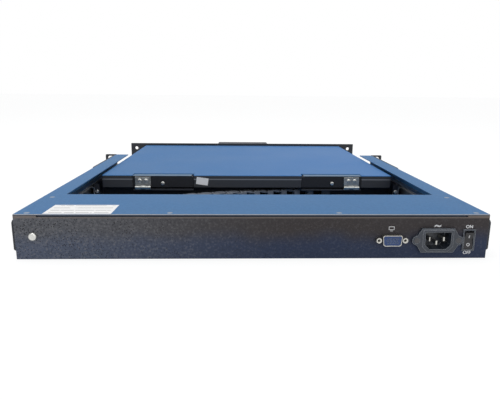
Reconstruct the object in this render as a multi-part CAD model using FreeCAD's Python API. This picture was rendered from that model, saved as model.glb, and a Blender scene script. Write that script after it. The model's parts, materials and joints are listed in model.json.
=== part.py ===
"""A one-unit rack drawer with a folding screen, a keyboard and a touchpad.

The origin is the centre of the rack ears' slot pattern, on the face that meets the rack rails.
The drawer slides out towards -Y, the connectors look towards +Y, and +Z is up.
The drawer is drawn pulled part of the way out, with the screen folded down over the keys.
"""

import FreeCAD
import Part
import math
import os

Vector = FreeCAD.Vector

# Rack ears
rack_width = 482.6
ear_height = 43.8
ear_thickness = 2.5
ear_leg_length = 139.0
ear_leg_thickness = 2.0
slot_inset = 8.75
slot_spacing_z = 31.75
ear_slot_length = 10.0
ear_slot_width = 6.8
leg_slot_length = 32.0
leg_slot_width = 4.6
leg_slot_z = 0.0
relief = 1.6
ear_corner = 1.0

# Chassis
chassis_width = 446.0
chassis_height = 43.4
chassis_depth = 411.0
sheet = 1.2
bend_radius = 1.6
opening_half = 202.4
ledge_width = 15.0
ledge_lap = 8.0
cover_depth = 87.0
cover_edge = 0.5
cover_hem = 8.0
cover_lip = 2.0
seam = 0.6
panel_flange = 12.0
lip_half = 200.0
lip_gap = 2.0
vent_count = 9
vent_pitch = 14.0
vent_length = 26.0
vent_width = 4.0
vent_y = 40.0

# Strips along the rear of the chassis sides
rail_length = 148.0
rail_height = 29.5
rail_thickness = 2.0
rail_rise = 0.7
rail_corner = 2.0
rail_slot_length = 44.0
rail_slot_spacing = 54.5
rail_slot_width = 5.2
rail_rear_gap = 0.5

# Fasteners
screw_shank = 1.5
screw_head = 2.9
screw_head_height = 1.4
small_sides = 6
head_sides = 8
large_sides = 12
sink_depth = 1.1
shank_reach = 2.0
cover_screw_inset = 6.0
cover_screw_outer = 212.5
cover_screw_inner = 80.0
cover_front_inset = 14.0
rail_screw_inset = 12.0
ear_screw_inset = 16.0
fit = 0.1
slot_round = 0.499
bevel_share = 0.3

# Rear connectors, seen from the rear at the image's right
ground_x = 206.0
ground_z = 0.7
ground_head = 4.2
ground_head_height = 2.6
ground_shank = 2.0
ground_reach = 4.0
ground_washer = 5.2
washer_thickness = 0.8
video_x = -129.5
video_z = -2.7
video_width = 18.8
video_height = 10.4
video_taper = 1.0
video_corner = 1.2
video_reach = 6.0
video_wall = 0.5
video_flange_width = 31.0
video_flange_height = 12.6
video_flange = 1.0
video_body_depth = 7.5
insert_gap = 0.02
insert_depth = 0.6
jack_spacing = 25.0
jack_across = 5.0
jack_length = 5.0
jack_bore = 1.42
jack_stud = 1.4
jack_stud_end = 1.5
jack_floor = 0.4
jack_hole_run = 5.0
socket_radius = 0.5
socket_depth = 3.0
socket_pitch = 2.29
socket_row_pitch = 1.98
socket_rows = 3
sockets_per_row = 5
inlet_x = -173.7
inlet_z = -3.2
inlet_width = 31.0
inlet_height = 23.6
inlet_ear_radius = 4.6
inlet_face = 3.2
inlet_screw_spacing = 40.0
inlet_screw_hole = 8.0
inlet_screw_reach = 3.0
inlet_housing_width = 27.4
inlet_housing_height = 20.0
inlet_housing_depth = 17.0
inlet_cavity_width = 24.8
inlet_cavity_height = 16.8
inlet_cavity_depth = 15.6
inlet_chamfer = 4.6
inlet_rim = 0.8
inlet_rim_width = 2.2
pin_width = 2.0
pin_height = 4.0
pin_spacing = 14.0
pin_rise = 0.8
earth_drop = 3.6
pin_recess = 3.0
tag_length = 8.0
switch_x = -204.4
switch_z = -3.3
switch_width = 11.8
switch_height = 21.3
switch_rim = 1.4
switch_body_width = 11.0
switch_body_height = 19.6
switch_body_depth = 14.0
switch_floor = 2.0
rocker_width = 8.2
rocker_half = 8.3
rocker_clearance = 0.35
rocker_tilt = 7.0
rocker_pivot_depth = 2.2
rocker_crown = 4.4
rocker_valley = 2.6
rocker_swing = 0.9
rocker_back = 3.6
rocker_pin = 1.0
axle_seat = 0.8
rocker_foot = 3.5
rocker_face_end = 8.05
rocker_slope = 0.4

# Telescopic slides
slide_depth = 9.6
slide_height = 26.0
slide_z = -6.7
slide_metal = 1.2
ball_gap = 1.5
ball_ridge = 1.2
ball_ridge_length = 90.0
ball_row_inset = 20.0
ball_lip_inset = 0.6
ball_width = 2.4
slide_front = 4.0
slide_rear_gap = 15.0
slide_middle_short = 6.0
slide_inner_short = 42.0
middle_back_gap = 1.0
lip_back = 0.6
inner_lip = 5.0

# Drawer, with how far it is pulled out
pulled_out = 172.0
ear_gap = 0.3
tray_clearance = 1.2
tray_side_top = 4.8
rear_room = 266.0
tray_top = -0.4
tray_flange = 9.0
tab_width = 6.6
tab_bottom = -9.0
tab_screw_z = -5.1
tab_screw_depth = 3.0
arm_step = 14.0
front_width = 465.0
front_height = 43.6
front_thickness = 2.5
front_corner = 0.8
front_hole_inset = 11.2
front_hole_z = 12.0
front_hole_radius = 3.2
cable_window_offset = 34.0
cable_window_width = 46.0
cable_window_height = 9.0
handle_width = 104.0
handle_reach = 31.0
handle_top = 21.6
handle_wall = 2.4
handle_drop = 14.0
handle_root = 30.0
handle_lip = 5.0
handle_corner = 1.6
handle_edge = 1.7
bar_width = 84.0
bar_height = 4.0
bar_depth = 9.0
bar_travel = 3.0
bar_guide = 1.2
bar_guide_inset = 6.0
bar_guide_width = 6.0
bar_clearance = 0.4
bar_edge = 1.0

# Keyboard and touchpad
key_pitch = 19.05
key_gap = 1.7
key_taper = 1.9
key_rise = 5.0
key_travel = 2.6
key_stop = 0.5
key_top = -2.4
key_lean = 0.5
guide_depth = 0.2
running_gap = 0.3
keyboard_front = 22.0
keyboard_side = 200.0
bezel_top = -4.6
bezel_sheet = 1.6
bezel_margin = 1.6
bezel_wall = 2.0
base_margin = 3.0
base_front_cut = 10.0
bezel_edge = 0.8
deck_fit = 0.4
key_rows = (
    (1.0,) * 15,
    (1.0,) * 13 + (2.0,),
    (1.5,) + (1.0,) * 12 + (1.5,),
    (1.75,) + (1.0,) * 11 + (2.25,),
    (2.25,) + (1.0,) * 10 + (2.75,),
    (1.25, 1.25, 1.25, 6.0, 1.25, 1.25, 1.25, 1.5),
)
touch_width = 74.0
touch_depth = 50.0
touch_x = 157.0
touch_recess = 0.6
touch_plate = 2.0
touch_foot_inset = 8.0
plunger_half_width = 3.0
plunger_half_depth = 2.0
plunger_rest = 0.2
button_depth = 14.0
button_gap = 1.0
button_rise = 0.8
button_travel = 0.8
bezel_rear_margin = 8.0

# Electronics bay behind the keys
bay_gap = 1.0
bay_cover_sheet = 1.0
bay_cover_top = -1.6
standoff_height = 3.0
standoff_radius = 2.5
board_thickness = 1.6
power_width = 150.0
power_depth = 86.0
power_x = -110.0
control_width = 170.0
control_depth = 96.0
control_x = 90.0
board_margin = 6.0
board_headroom = 0.6

# Screen lid
lid_side_gap = 10.6
lid_overhang = 37.0
lid_front_gap = 2.8
lid_bottom = 0.7
lid_thickness = 17.0
lid_sheet = 1.5
lid_edge = 0.7
lid_corner = 2.0
lid_bezel_thickness = 2.2
lid_fit = 0.2
screen_side_margin = 32.6
screen_rear_margin = 54.0
screen_front_margin = 30.0
screen_border = 5.0
screen_depth = 9.0
glass_fit = 0.3
glass_drop = 1.2
spacer_inset = 6.0
spacer_width = 10.0
menu_count = 5
menu_pitch = 14.0
menu_width = 9.0
menu_depth = 5.0
menu_inset = 20.0
menu_travel = 0.5
menu_proud = 0.6
menu_flange = 0.8
menu_post = 5.0

# Hinges at the lid's rear edge
notch_inner = 75.0
notch_outer = 159.5
notch_depth = 14.0
notch_gap = 0.6
notch_chamfer = 4.0
hinge_cover_top = 16.9
hinge_cover_raise = 0.2
leaf_inner = 134.5
leaf_width = 21.2
leaf_thickness = 1.2
leaf_top = 15.5
knuckle_radius = 2.0
knuckle_z = 1.3
knuckle_setback = 2.9
knuckle_gap = 0.2
hinge_pin = 1.0
hinge_running = 0.05
bracket_thickness = 2.0
bracket_top = -1.6
bracket_drop = 12.0
bracket_wall = 1.4
bracket_screw_inset = 8.0
bracket_screw_drop = 4.6
bracket_screw_height = 1.0
leaf_depth = 20.0
leaf_screw_z = 10.5
leaf_screw_spacing = 8.4
lid_screw_depth = 5.0
cover_screw_x = 118.0
cover_screw_z = 6.5

# Cable chain behind the drawer
link_pitch = 20.0
link_top = -4.5
link_height = 14.6
link_width = 13.6
cheek = 1.5
cheek_gap = 0.2
link_wall = 1.5
link_body = 8.4
link_tip = 4.8
link_nose = 2.6
link_pin = 1.9
pin_clearance = 0.08
chain_start_x = -100.0
chain_start_gap = 12.0
chain_heading = 7.8
run_turn = 5.4
bend_turn = 22.6
crook_turn = 31.1
return_turn = 12.8
run_turns_at = (2, 5, 9)
bend_turns_at = (13, 14, 16)
crook_turns_at = (15, 17)
return_turns_at = (20, 24)
chain_groups = (5, 8, 1, 2, 3, 5, 5)
anchor_back = 20.0
anchor_width = 30.0
anchor_length = 40.0
anchor_plate = 1.0
anchor_overhang = 8.0
anchor_corner = 3.0
anchor_nose = 4.1
anchor_side_gap = 1.0

# Planes worked out from the sizes above
slot_spacing_x = rack_width - 2 * slot_inset
chassis_half = chassis_width / 2
inner_half = chassis_half - sheet
top = chassis_height / 2
bottom = -top
floor_top = bottom + sheet
rear_inside = chassis_depth - sheet
cover_front = chassis_depth - cover_depth
slide_outer_length = chassis_depth - slide_front - slide_rear_gap
slide_middle_length = slide_outer_length - slide_middle_short
slide_inner_length = slide_outer_length - slide_inner_short
slide_face = inner_half - slide_depth
lid_half = slide_face - lid_side_gap
screen_width = 2 * (lid_half - screen_side_margin)
front_rear_face = -ear_thickness - ear_gap - pulled_out
front_face = front_rear_face - front_thickness
front_hole_x = front_width / 2 - front_hole_inset
tray_rear = chassis_depth - rear_room
lid_rear = tray_rear + lid_overhang
tray_bottom = floor_top + tray_clearance
tray_floor = tray_bottom + sheet
lid_top = lid_bottom + lid_thickness
lid_front = front_rear_face + lid_front_gap
screen_height = lid_rear - lid_front - screen_front_margin - screen_rear_margin
keyboard_y = front_rear_face + keyboard_front
key_field_depth = key_pitch * len(key_rows)
key_field_width = key_pitch * sum(key_rows[0])
bezel_rear = keyboard_y + key_field_depth + bezel_rear_margin
base_top = key_top - key_rise - key_travel - key_stop
knuckle_y = lid_rear + knuckle_setback
chain_start_y = tray_rear + chain_start_gap


def box(x0, x1, y0, y1, z0, z1):
    """A block between two opposite corners."""
    corner = Vector(min(x0, x1), min(y0, y1), min(z0, z1))
    return Part.makeBox(abs(x1 - x0), abs(y1 - y0), abs(z1 - z0), corner)


def rod(radius, start, end):
    """A round bar between two points."""
    axis = end - start
    return Part.makeCylinder(radius, axis.Length, start, axis)


def prism(points, push):
    """A flat polygon, given as three-dimensional points, pushed along a vector."""
    corners = [Vector(*point) for point in points]
    return Part.Face(Part.makePolygon(corners + corners[:1])).extrude(push)


def join(*shapes):
    """Touching shapes as one solid."""
    if len(shapes) == 1:
        return shapes[0]
    return shapes[0].multiFuse(list(shapes[1:])).removeSplitter()


def mirrored(shape):
    """The same shape on the other side of the drawer."""
    return shape.mirror(Vector(), Vector(1, 0, 0))


def cut(shape, *tools):
    """A shape with every tool taken out of it."""
    return shape.cut(list(tools)) if tools else shape


def edges_along(shape, axis, low, high):
    """The straight edges that run along an axis and lie inside a box."""
    found = []
    for edge in shape.Edges:
        if len(edge.Vertexes) != 2:
            continue
        start, end = (vertex.Point for vertex in edge.Vertexes)
        step = end - start
        middle = (start + end) * 0.5
        inside = all(a - 0.01 <= m <= b + 0.01 for a, m, b in zip(low, middle, high))
        if inside and step.Length > 0 and abs(step.dot(axis)) > 0.999 * step.Length:
            found.append(edge)
    return found


def rounded(shape, radius, axis, low=(-1e4,) * 3, high=(1e4,) * 3):
    """The shape with those edges along the axis rounded."""
    return shape.makeFillet(radius, edges_along(shape, axis, low, high))


def bevelled(shape, size, axis, low=(-1e4,) * 3, high=(1e4,) * 3):
    """The shape with those edges along the axis cut off at an angle."""
    return shape.makeChamfer(size, edges_along(shape, axis, low, high))


def ring(radius, centre, axis, sides):
    """Corners of a regular polygon about an axis."""
    across = Vector(0, 0, 1) if abs(axis.z) < 0.5 * axis.Length else Vector(1, 0, 0)
    other = axis.cross(across).normalize()
    turns = [2 * math.pi * (k + 0.5) / sides for k in range(sides)]
    return [centre + across * (radius * math.cos(t)) + other * (radius * math.sin(t)) for t in turns]


def pin(radius, start, end, sides=small_sides):
    """A small round bar, drawn with a few flat sides inside its radius."""
    return prism(ring(radius, start, end - start, sides), end - start)


def bore(radius, start, end, sides=small_sides):
    """A small round hole, drawn with a few flat sides outside its radius."""
    return prism(ring(radius / math.cos(math.pi / sides), start, end - start, sides), end - start)


def slot(x, y0, y1, z, length, width):
    """A round-ended slot through a wall that faces Y; it runs along X."""
    block = box(x - length / 2, x + length / 2, y0, y1, z - width / 2, z + width / 2)
    return rounded(block, width * slot_round, Vector(0, 1, 0))


def side_slot(x0, x1, y, z, length, width):
    """A long slot through a wall that faces X; it runs along Y and its ends are bevelled."""
    block = box(x0, x1, y - length / 2, y + length / 2, z - width / 2, z + width / 2)
    return bevelled(block, width * bevel_share, Vector(1, 0, 0))


def taper(radius, end_radius, start, end):
    """A countersink: a ring of flat sides that narrows from one end to the other."""
    axis = end - start
    wires = []
    for size, centre in ((radius, start), (end_radius, end)):
        corners = ring(size, centre, axis, head_sides)
        wires.append(Part.makePolygon(corners + corners[:1]))
    return Part.makeLoft(wires, True, True)


def domed_screw(point, axis, reach=shank_reach, height=screw_head_height):
    """A screw whose head stands on a face at the point; its shank reaches inward."""
    head = pin(screw_head, point, point + axis * height, head_sides)
    return join(head, pin(screw_shank, point - axis * reach, point))


def flat_screw(point, axis, reach):
    """A countersunk screw whose head ends level with the face at the point."""
    head = taper(screw_head, screw_shank, point, point - axis * sink_depth)
    return join(head, pin(screw_shank, point - axis * reach, point - axis * sink_depth))


def screw_hole(point, axis, reach):
    """The clearance hole for a screw, from just outside the face at the point."""
    return bore(screw_shank + fit, point - axis * reach, point + axis)


def sunk_hole(point, axis, reach):
    """The countersunk hole for a flat screw, a little wider all round."""
    grow = 2 * fit
    head = taper(screw_head + grow, screw_shank + grow, point, point - axis * (sink_depth + fit))
    return join(head, bore(screw_shank + fit, point - axis * reach, point - axis * sink_depth))


def save(name, *solids):
    """One STEP file for one node."""
    shape = solids[0] if len(solids) == 1 else Part.makeCompound(list(solids))
    shape.exportStep(os.path.join("parts", name + ".step"))


# Where the chassis screws go


def cover_screw_points():
    """Screws through the cover: a row along the rear edge and one at each front corner."""
    y = chassis_depth - cover_screw_inset
    rear = [(s * x, y) for s in (-1, 1) for x in (cover_screw_outer, cover_screw_inner)]
    front = [(s * cover_screw_outer, cover_front + cover_front_inset) for s in (-1, 1)]
    return rear + front


def ear_screw_points():
    """Screws through the two slots of an ear's side leg."""
    reach = ear_screw_inset + leg_slot_length / 2
    return [(reach, leg_slot_z), (ear_leg_length - reach, leg_slot_z)]


def rail_screw_points():
    """Screws at both ends of a side strip."""
    rear = chassis_depth - rail_rear_gap
    return [(rear - rail_length + rail_screw_inset, rail_rise), (rear - rail_screw_inset, rail_rise)]


def side_holes():
    """Holes in one side wall for the screws of its ear and its strip."""
    points = ear_screw_points() + rail_screw_points()
    return [screw_hole(Vector(chassis_half, y, z), Vector(1, 0, 0), 2 * sheet) for y, z in points]


# Chassis


def chassis_tray():
    """The folded floor, sides and top flanges, with a lower ledge for the rear cover."""
    floor = box(-chassis_half, chassis_half, 0, rear_inside, bottom, floor_top)
    side = box(inner_half, chassis_half, 0, rear_inside, bottom, top - sheet)
    crest = box(inner_half, chassis_half, 0, cover_front, top - sheet, top)
    flange = box(opening_half, inner_half, 0, cover_front, top - sheet, top)
    inner = inner_half - ledge_width
    ledge = box(inner, inner_half, cover_front - ledge_lap, rear_inside, top - 2 * sheet, top - sheet)
    half = cut(join(side, crest, flange, ledge), *side_holes())
    holes = [
        screw_hole(Vector(x, y, top), Vector(0, 0, 1), 4 * sheet)
        for x, y in cover_screw_points()
        if abs(x) > opening_half
    ]
    vents = []
    for k in range(vent_count):
        x = (k - (vent_count - 1) / 2) * vent_pitch - vent_width / 2
        low = bottom - 1
        vents.append(box(x, x + vent_width, vent_y, vent_y + vent_length, low, floor_top + 1))
    shape = cut(join(floor, half, mirrored(half)), *(holes + vents))
    for x in (-chassis_half, chassis_half):
        shape = rounded(shape, bend_radius, Vector(0, 1, 0), (x, 0, bottom), (x, rear_inside, bottom))
    return shape


def video_outline(grow, y0, y1):
    """The D shape of the video socket, wider at its top."""
    w0 = video_width / 2 + grow
    w1 = w0 - video_taper
    h = video_height / 2 + grow
    points = [(-w1, -h), (w1, -h), (w0, h), (-w0, h)]
    solid = prism([(video_x + x, y0, video_z + z) for x, z in points], Vector(0, y1 - y0, 0))
    corners = [edge for edge in solid.Edges if abs(edge.tangentAt(edge.FirstParameter).y) > 0.9]
    return solid.makeChamfer(video_corner, corners)


def jack_points():
    """The two screw posts beside the video socket."""
    return [Vector(video_x + s * jack_spacing / 2, chassis_depth, video_z) for s in (-1, 1)]


def inlet_screw_points():
    """The two screws of the power inlet."""
    reach = inlet_screw_spacing / 2
    return [Vector(inlet_x + s * reach, chassis_depth + inlet_face, inlet_z) for s in (-1, 1)]


def rear_panel():
    """The rear wall with its connector cut-outs and the stepped flange that the cover rests on."""
    edge = top - cover_lip - seam
    wing = lip_half + lip_gap
    plate = box(-chassis_half, chassis_half, rear_inside, chassis_depth, bottom, edge)
    wings = []
    for s in (-1, 1):
        wings.append(box(s * wing, s * chassis_half, rear_inside, chassis_depth, edge, top - sheet))
    step = box(-lip_half, lip_half, rear_inside - sheet, rear_inside, top - 5 * sheet, top - sheet)
    flange = box(-lip_half, lip_half, rear_inside - panel_flange, rear_inside, top - 2 * sheet, top - sheet)
    y0 = rear_inside - 1
    y1 = chassis_depth + 1
    tools = [video_outline(fit, y0, y1)]
    for point in jack_points():
        tools.append(bore(jack_stud + fit, point - Vector(0, jack_hole_run, 0), point + Vector(0, 1, 0)))
    half_w = inlet_housing_width / 2 + fit
    half_h = inlet_housing_height / 2 + fit
    tools.append(box(inlet_x - half_w, inlet_x + half_w, y0, y1, inlet_z - half_h, inlet_z + half_h))
    for point in inlet_screw_points():
        tools.append(screw_hole(point, Vector(0, 1, 0), inlet_screw_hole))
    half_w = switch_body_width / 2 + fit
    half_h = switch_body_height / 2 + fit
    tools.append(box(switch_x - half_w, switch_x + half_w, y0, y1, switch_z - half_h, switch_z + half_h))
    tools.append(bore(ground_shank + fit, Vector(ground_x, y0, ground_z), Vector(ground_x, y1, ground_z)))
    for x, y in cover_screw_points():
        if abs(x) < lip_half:
            tools.append(screw_hole(Vector(x, y, top), Vector(0, 0, 1), 4 * sheet))
    return cut(join(plate, step, flange, *wings), *tools)


def rear_cover():
    """The plate over the rear of the chassis, hemmed in front and lipped at the rear."""
    plate = box(-chassis_half, chassis_half, cover_front, chassis_depth, top - sheet, top)
    hem_half = opening_half - 1
    hem = box(-hem_half, hem_half, cover_front, cover_front + cover_hem, top - 2 * sheet, top - sheet)
    lip = box(-lip_half, lip_half, rear_inside, chassis_depth, top - cover_lip, top - sheet)
    holes = [sunk_hole(Vector(x, y, top), Vector(0, 0, 1), 3 * sheet) for x, y in cover_screw_points()]
    shape = cut(join(plate, hem, lip), *holes)
    edge = (chassis_half, chassis_depth, top)
    return bevelled(shape, cover_edge, Vector(1, 0, 0), (-chassis_half, chassis_depth, top), edge)


def rack_ear():
    """An angle: slotted flange against the rack rail, slotted leg along the chassis side."""
    half = ear_height / 2
    outer = chassis_half + ear_leg_thickness
    flange = box(chassis_half, rack_width / 2, -ear_thickness, 0, -half, half)
    leg = box(chassis_half, outer, -ear_thickness, ear_leg_length, -half, half)
    tools = []
    for s in (-1, 1):
        z = s * slot_spacing_z / 2
        tools.append(slot(slot_spacing_x / 2, -ear_thickness - 1, 1, z, ear_slot_length, ear_slot_width))
        low = s * (half - relief)
        tools.append(box(chassis_half - 1, outer + relief, 0, relief, low, s * (half + 1)))
    for y, z in ear_screw_points():
        tools.append(side_slot(chassis_half - 1, outer + 1, y, z, leg_slot_length, leg_slot_width))
    shape = cut(join(flange, leg), *tools)
    reach = rack_width / 2
    return bevelled(shape, ear_corner, Vector(0, 1, 0), (reach, -ear_thickness, -half), (reach, 0, half))


def rear_rail():
    """A slotted strip on the chassis side for a rear support."""
    rear = chassis_depth - rail_rear_gap
    front = rear - rail_length
    low = rail_rise - rail_height / 2
    outer = chassis_half + rail_thickness
    plate = box(chassis_half, outer, front, rear, low, low + rail_height)
    plate = bevelled(plate, rail_corner, Vector(1, 0, 0))
    out = Vector(1, 0, 0)
    tools = [screw_hole(Vector(outer, y, z), out, rail_thickness + 1) for y, z in rail_screw_points()]
    for s in (-1, 1):
        y = (front + rear + s * rail_slot_spacing) / 2
        inside = chassis_half - 1
        tools.append(side_slot(inside, outer + 1, y, rail_rise, rail_slot_length, rail_slot_width))
    return cut(plate, *tools)


def chassis_screws():
    """Flat screws in the cover and the power inlet, domed ones in the ears and the side strips."""
    flat = [flat_screw(Vector(x, y, top), Vector(0, 0, 1), 3 * sheet) for x, y in cover_screw_points()]
    reach = inlet_face + inlet_screw_reach
    flat += [flat_screw(point, Vector(0, 1, 0), reach) for point in inlet_screw_points()]
    seats = [Vector(chassis_half + ear_leg_thickness, y, z) for y, z in ear_screw_points()]
    seats += [Vector(chassis_half + rail_thickness, y, z) for y, z in rail_screw_points()]
    domed = [domed_screw(seat, Vector(1, 0, 0), seat.x - inner_half) for seat in seats]
    return flat + domed + [mirrored(screw) for screw in domed]


# Connectors on the rear panel


def ground_screw():
    """The earthing screw with its washer."""
    face = Vector(ground_x, chassis_depth, ground_z)
    out = Vector(0, 1, 0)
    seat = face + out * washer_thickness
    washer = pin(ground_washer, face, seat, large_sides)
    head = pin(ground_head, seat, seat + out * ground_head_height, large_sides)
    return join(washer, head, pin(ground_shank, face - out * ground_reach, face))


def video_shell():
    """The metal shell of the video socket with its flange behind the panel."""
    rear = rear_inside - video_flange
    skirt = video_outline(0, rear, chassis_depth + video_reach)
    hollow = video_outline(-video_wall, rear - 1, chassis_depth + video_reach + 1)
    half_w = video_flange_width / 2
    half_h = video_flange_height / 2
    flange = box(video_x - half_w, video_x + half_w, rear, rear_inside, video_z - half_h, video_z + half_h)
    tools = [hollow]
    for point in jack_points():
        tools.append(bore(jack_stud + fit, point - Vector(0, jack_hole_run, 0), point))
    return cut(join(flange, skirt), *tools)


def video_insulator():
    """The coloured insert with its rows of contact holes and the body behind the panel."""
    front = chassis_depth + video_reach - insert_depth
    seat = rear_inside - video_flange
    insert = video_outline(-video_wall - insert_gap, seat, front)
    half_w = video_flange_width / 2 - jack_across
    half_h = video_flange_height / 2
    rear = seat - video_body_depth
    body = box(video_x - half_w, video_x + half_w, rear, seat, video_z - half_h, video_z + half_h)
    holes = []
    for row in range(socket_rows):
        z = video_z + (row - (socket_rows - 1) / 2) * socket_row_pitch
        shift = socket_pitch / 4 if row % 2 else -socket_pitch / 4
        for k in range(sockets_per_row):
            x = video_x + (k - (sockets_per_row - 1) / 2) * socket_pitch + shift
            size = socket_radius
            holes.append(box(x - size, x + size, front - socket_depth, front + 1, z - size, z + size))
    return cut(join(insert, body), *holes)


def video_jackscrews():
    """Two hexagonal posts, tapped for a plug's screws."""
    posts = []
    for point in jack_points():
        post = pin(jack_across / math.sqrt(3), point, point + Vector(0, jack_length, 0), 6)
        stud = pin(jack_stud, point - Vector(0, sheet + video_flange + jack_stud_end, 0), point)
        thread = rod(jack_bore, point + Vector(0, jack_floor, 0), point + Vector(0, jack_length + 1, 0))
        posts.append(cut(join(post, stud), thread))
    return posts


def inlet_cavity(grow, y0, y1):
    """The socket's outline: a rectangle with its two lower corners cut off."""
    w = inlet_cavity_width / 2 + grow
    h = inlet_cavity_height / 2 + grow
    c = inlet_chamfer
    points = [(-w + c, -h), (w - c, -h), (w, -h + c), (w, h), (-w, h), (-w, -h + c)]
    return prism([(inlet_x + x, y0, inlet_z + z) for x, z in points], Vector(0, y1 - y0, 0))


def inlet_body():
    """The moulded power inlet: eared flange, raised rim, housing and cavity."""
    face = chassis_depth + inlet_face
    w = inlet_width / 2
    h = inlet_height / 2
    reach = inlet_screw_spacing / 2
    r = inlet_ear_radius
    points = [(-w, -h), (w, -h), (reach, -r), (reach, r), (w, h), (-w, h), (-reach, r), (-reach, -r)]
    flange = prism([(inlet_x + x, chassis_depth, inlet_z + z) for x, z in points], Vector(0, inlet_face, 0))
    ears = []
    for point in inlet_screw_points():
        ears.append(pin(r, point - Vector(0, inlet_face, 0), point, large_sides))
    rim = inlet_cavity(inlet_rim_width, face, face + inlet_rim)
    half_w = inlet_housing_width / 2
    half_h = inlet_housing_height / 2
    rear = chassis_depth - inlet_housing_depth
    low = inlet_z - half_h
    housing = box(inlet_x - half_w, inlet_x + half_w, rear, chassis_depth, low, inlet_z + half_h)
    floor = face + inlet_rim - inlet_cavity_depth
    tools = [inlet_cavity(0, floor, face + inlet_rim + 1)]
    for point in inlet_screw_points():
        tools.append(sunk_hole(point, Vector(0, 1, 0), inlet_face + 1))
    for x, z in blade_places():
        half = pin_width / 2 + fit
        tall = pin_height / 2 + fit
        tools.append(box(x - half, x + half, rear - 1, floor + 1, z - tall, z + tall))
    return cut(join(flange, rim, housing, *ears), *tools)


def blade_places():
    """Two power pins side by side and the earth pin below them."""
    high = inlet_z + pin_rise
    return [
        (inlet_x - pin_spacing / 2, high),
        (inlet_x + pin_spacing / 2, high),
        (inlet_x, high - earth_drop),
    ]


def inlet_pins():
    """Flat pins that start inside the cavity and end as solder tags behind the housing."""
    rear = chassis_depth - inlet_housing_depth - tag_length
    tip = chassis_depth + inlet_face + inlet_rim - pin_recess
    blades = []
    for x, z in blade_places():
        blade = box(x - pin_width / 2, x + pin_width / 2, rear, tip, z - pin_height / 2, z + pin_height / 2)
        low = (x - pin_width, tip, z - pin_height)
        high = (x + pin_width, tip, z + pin_height)
        blades.append(bevelled(blade, pin_width * bevel_share, Vector(0, 0, 1), low, high))
    return blades


def switch_block(width, height, y0, y1):
    """A block centred on the switch."""
    w = width / 2
    h = height / 2
    return box(switch_x - w, switch_x + w, y0, y1, switch_z - h, switch_z + h)


def rocker_axle(radius, reach, shape_of):
    """The rocker's pivot, as a bar or as a hole."""
    y = chassis_depth - rocker_pivot_depth
    return shape_of(radius, Vector(switch_x - reach, y, switch_z), Vector(switch_x + reach, y, switch_z))


def switch_frame():
    """The switch's rim and body, hollow where the rocker tips."""
    face = chassis_depth + switch_rim
    rear = chassis_depth - switch_body_depth
    rim = switch_block(switch_width, switch_height, chassis_depth, face)
    body = switch_block(switch_body_width, switch_body_height, rear, chassis_depth)
    width = rocker_width + 2 * rocker_clearance
    hollow = switch_block(width, 2 * (rocker_half + rocker_swing), rear + switch_floor, face + 1)
    return cut(join(rim, body), hollow, rocker_axle(rocker_pin + fit, width / 2 + axle_seat, bore))


def rocker():
    """The two-faced rocker on its pivot pins, tipped to its lower side."""
    y = chassis_depth - rocker_pivot_depth
    half = rocker_half
    outline = [
        (-rocker_back, -rocker_foot),
        (-rocker_back, rocker_foot),
        (rocker_valley - rocker_slope, rocker_face_end),
        (rocker_crown, half),
        (rocker_valley, 0),
        (rocker_crown, -half),
        (rocker_valley - rocker_slope, -rocker_face_end),
    ]
    x0 = switch_x - rocker_width / 2
    key = prism([(x0, y + a, switch_z + b) for a, b in outline], Vector(rocker_width, 0, 0))
    reach = rocker_width / 2 + rocker_clearance + axle_seat - fit
    shape = join(key, rocker_axle(rocker_pin, reach, pin))
    shape.rotate(Vector(switch_x, y, switch_z), Vector(1, 0, 0), -rocker_tilt)
    return shape


# Telescopic slides


def channel(back, lip_end, height, metal, y0, y1):
    """A channel section: back plate and two lips, measured inward from the chassis wall."""
    sign = 1 if lip_end > back else -1
    half = height / 2
    outline = [
        (back, -half),
        (lip_end, -half),
        (lip_end, -half + metal),
        (back + sign * metal, -half + metal),
        (back + sign * metal, half - metal),
        (lip_end, half - metal),
        (lip_end, half),
        (back, half),
    ]
    points = [(inner_half - t, y0, slide_z + z) for t, z in outline]
    return prism(points, Vector(0, y1 - y0, 0))


def middle_height():
    """The middle member's height inside the outer one, with room for the balls."""
    return slide_height - 2 * (slide_metal + ball_gap)


def inner_height():
    """The inner member's height inside the middle one."""
    return middle_height() - 2 * (slide_metal + ball_gap)


def slide_outer():
    """The fixed member, on the chassis wall."""
    y1 = slide_front + slide_outer_length
    return channel(0, slide_depth - lip_back, slide_height, slide_metal, slide_front, y1)


def slide_middle():
    """The half-travel member with a ridge of balls on both faces of each lip."""
    y0 = slide_front - pulled_out / 2
    y1 = y0 + slide_middle_length
    back = slide_metal + middle_back_gap
    section = channel(back, slide_depth - lip_back, middle_height(), slide_metal, y0, y1)
    t0 = inner_half - slide_depth + lip_back + ball_lip_inset
    t1 = t0 + ball_width
    half = middle_height() / 2
    ridges = []
    outer_row = y1 - ball_ridge_length - ball_row_inset
    inner_row = slide_front - pulled_out + slide_inner_length - ball_ridge_length - 3 * ball_row_inset
    for s in (-1, 1):
        rows = ((outer_row, half, ball_ridge), (inner_row, half - slide_metal, -ball_ridge))
        for start, base, rise in rows:
            low = slide_z + s * base
            ridges.append(box(t0, t1, start, start + ball_ridge_length, low, low + s * rise))
    return join(section, *ridges)


def slide_inner():
    """The member that the drawer's side is riveted to."""
    y0 = slide_front - pulled_out
    y1 = y0 + slide_inner_length
    return channel(slide_depth, slide_depth - inner_lip, inner_height(), slide_metal, y0, y1)


# Drawer


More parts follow.
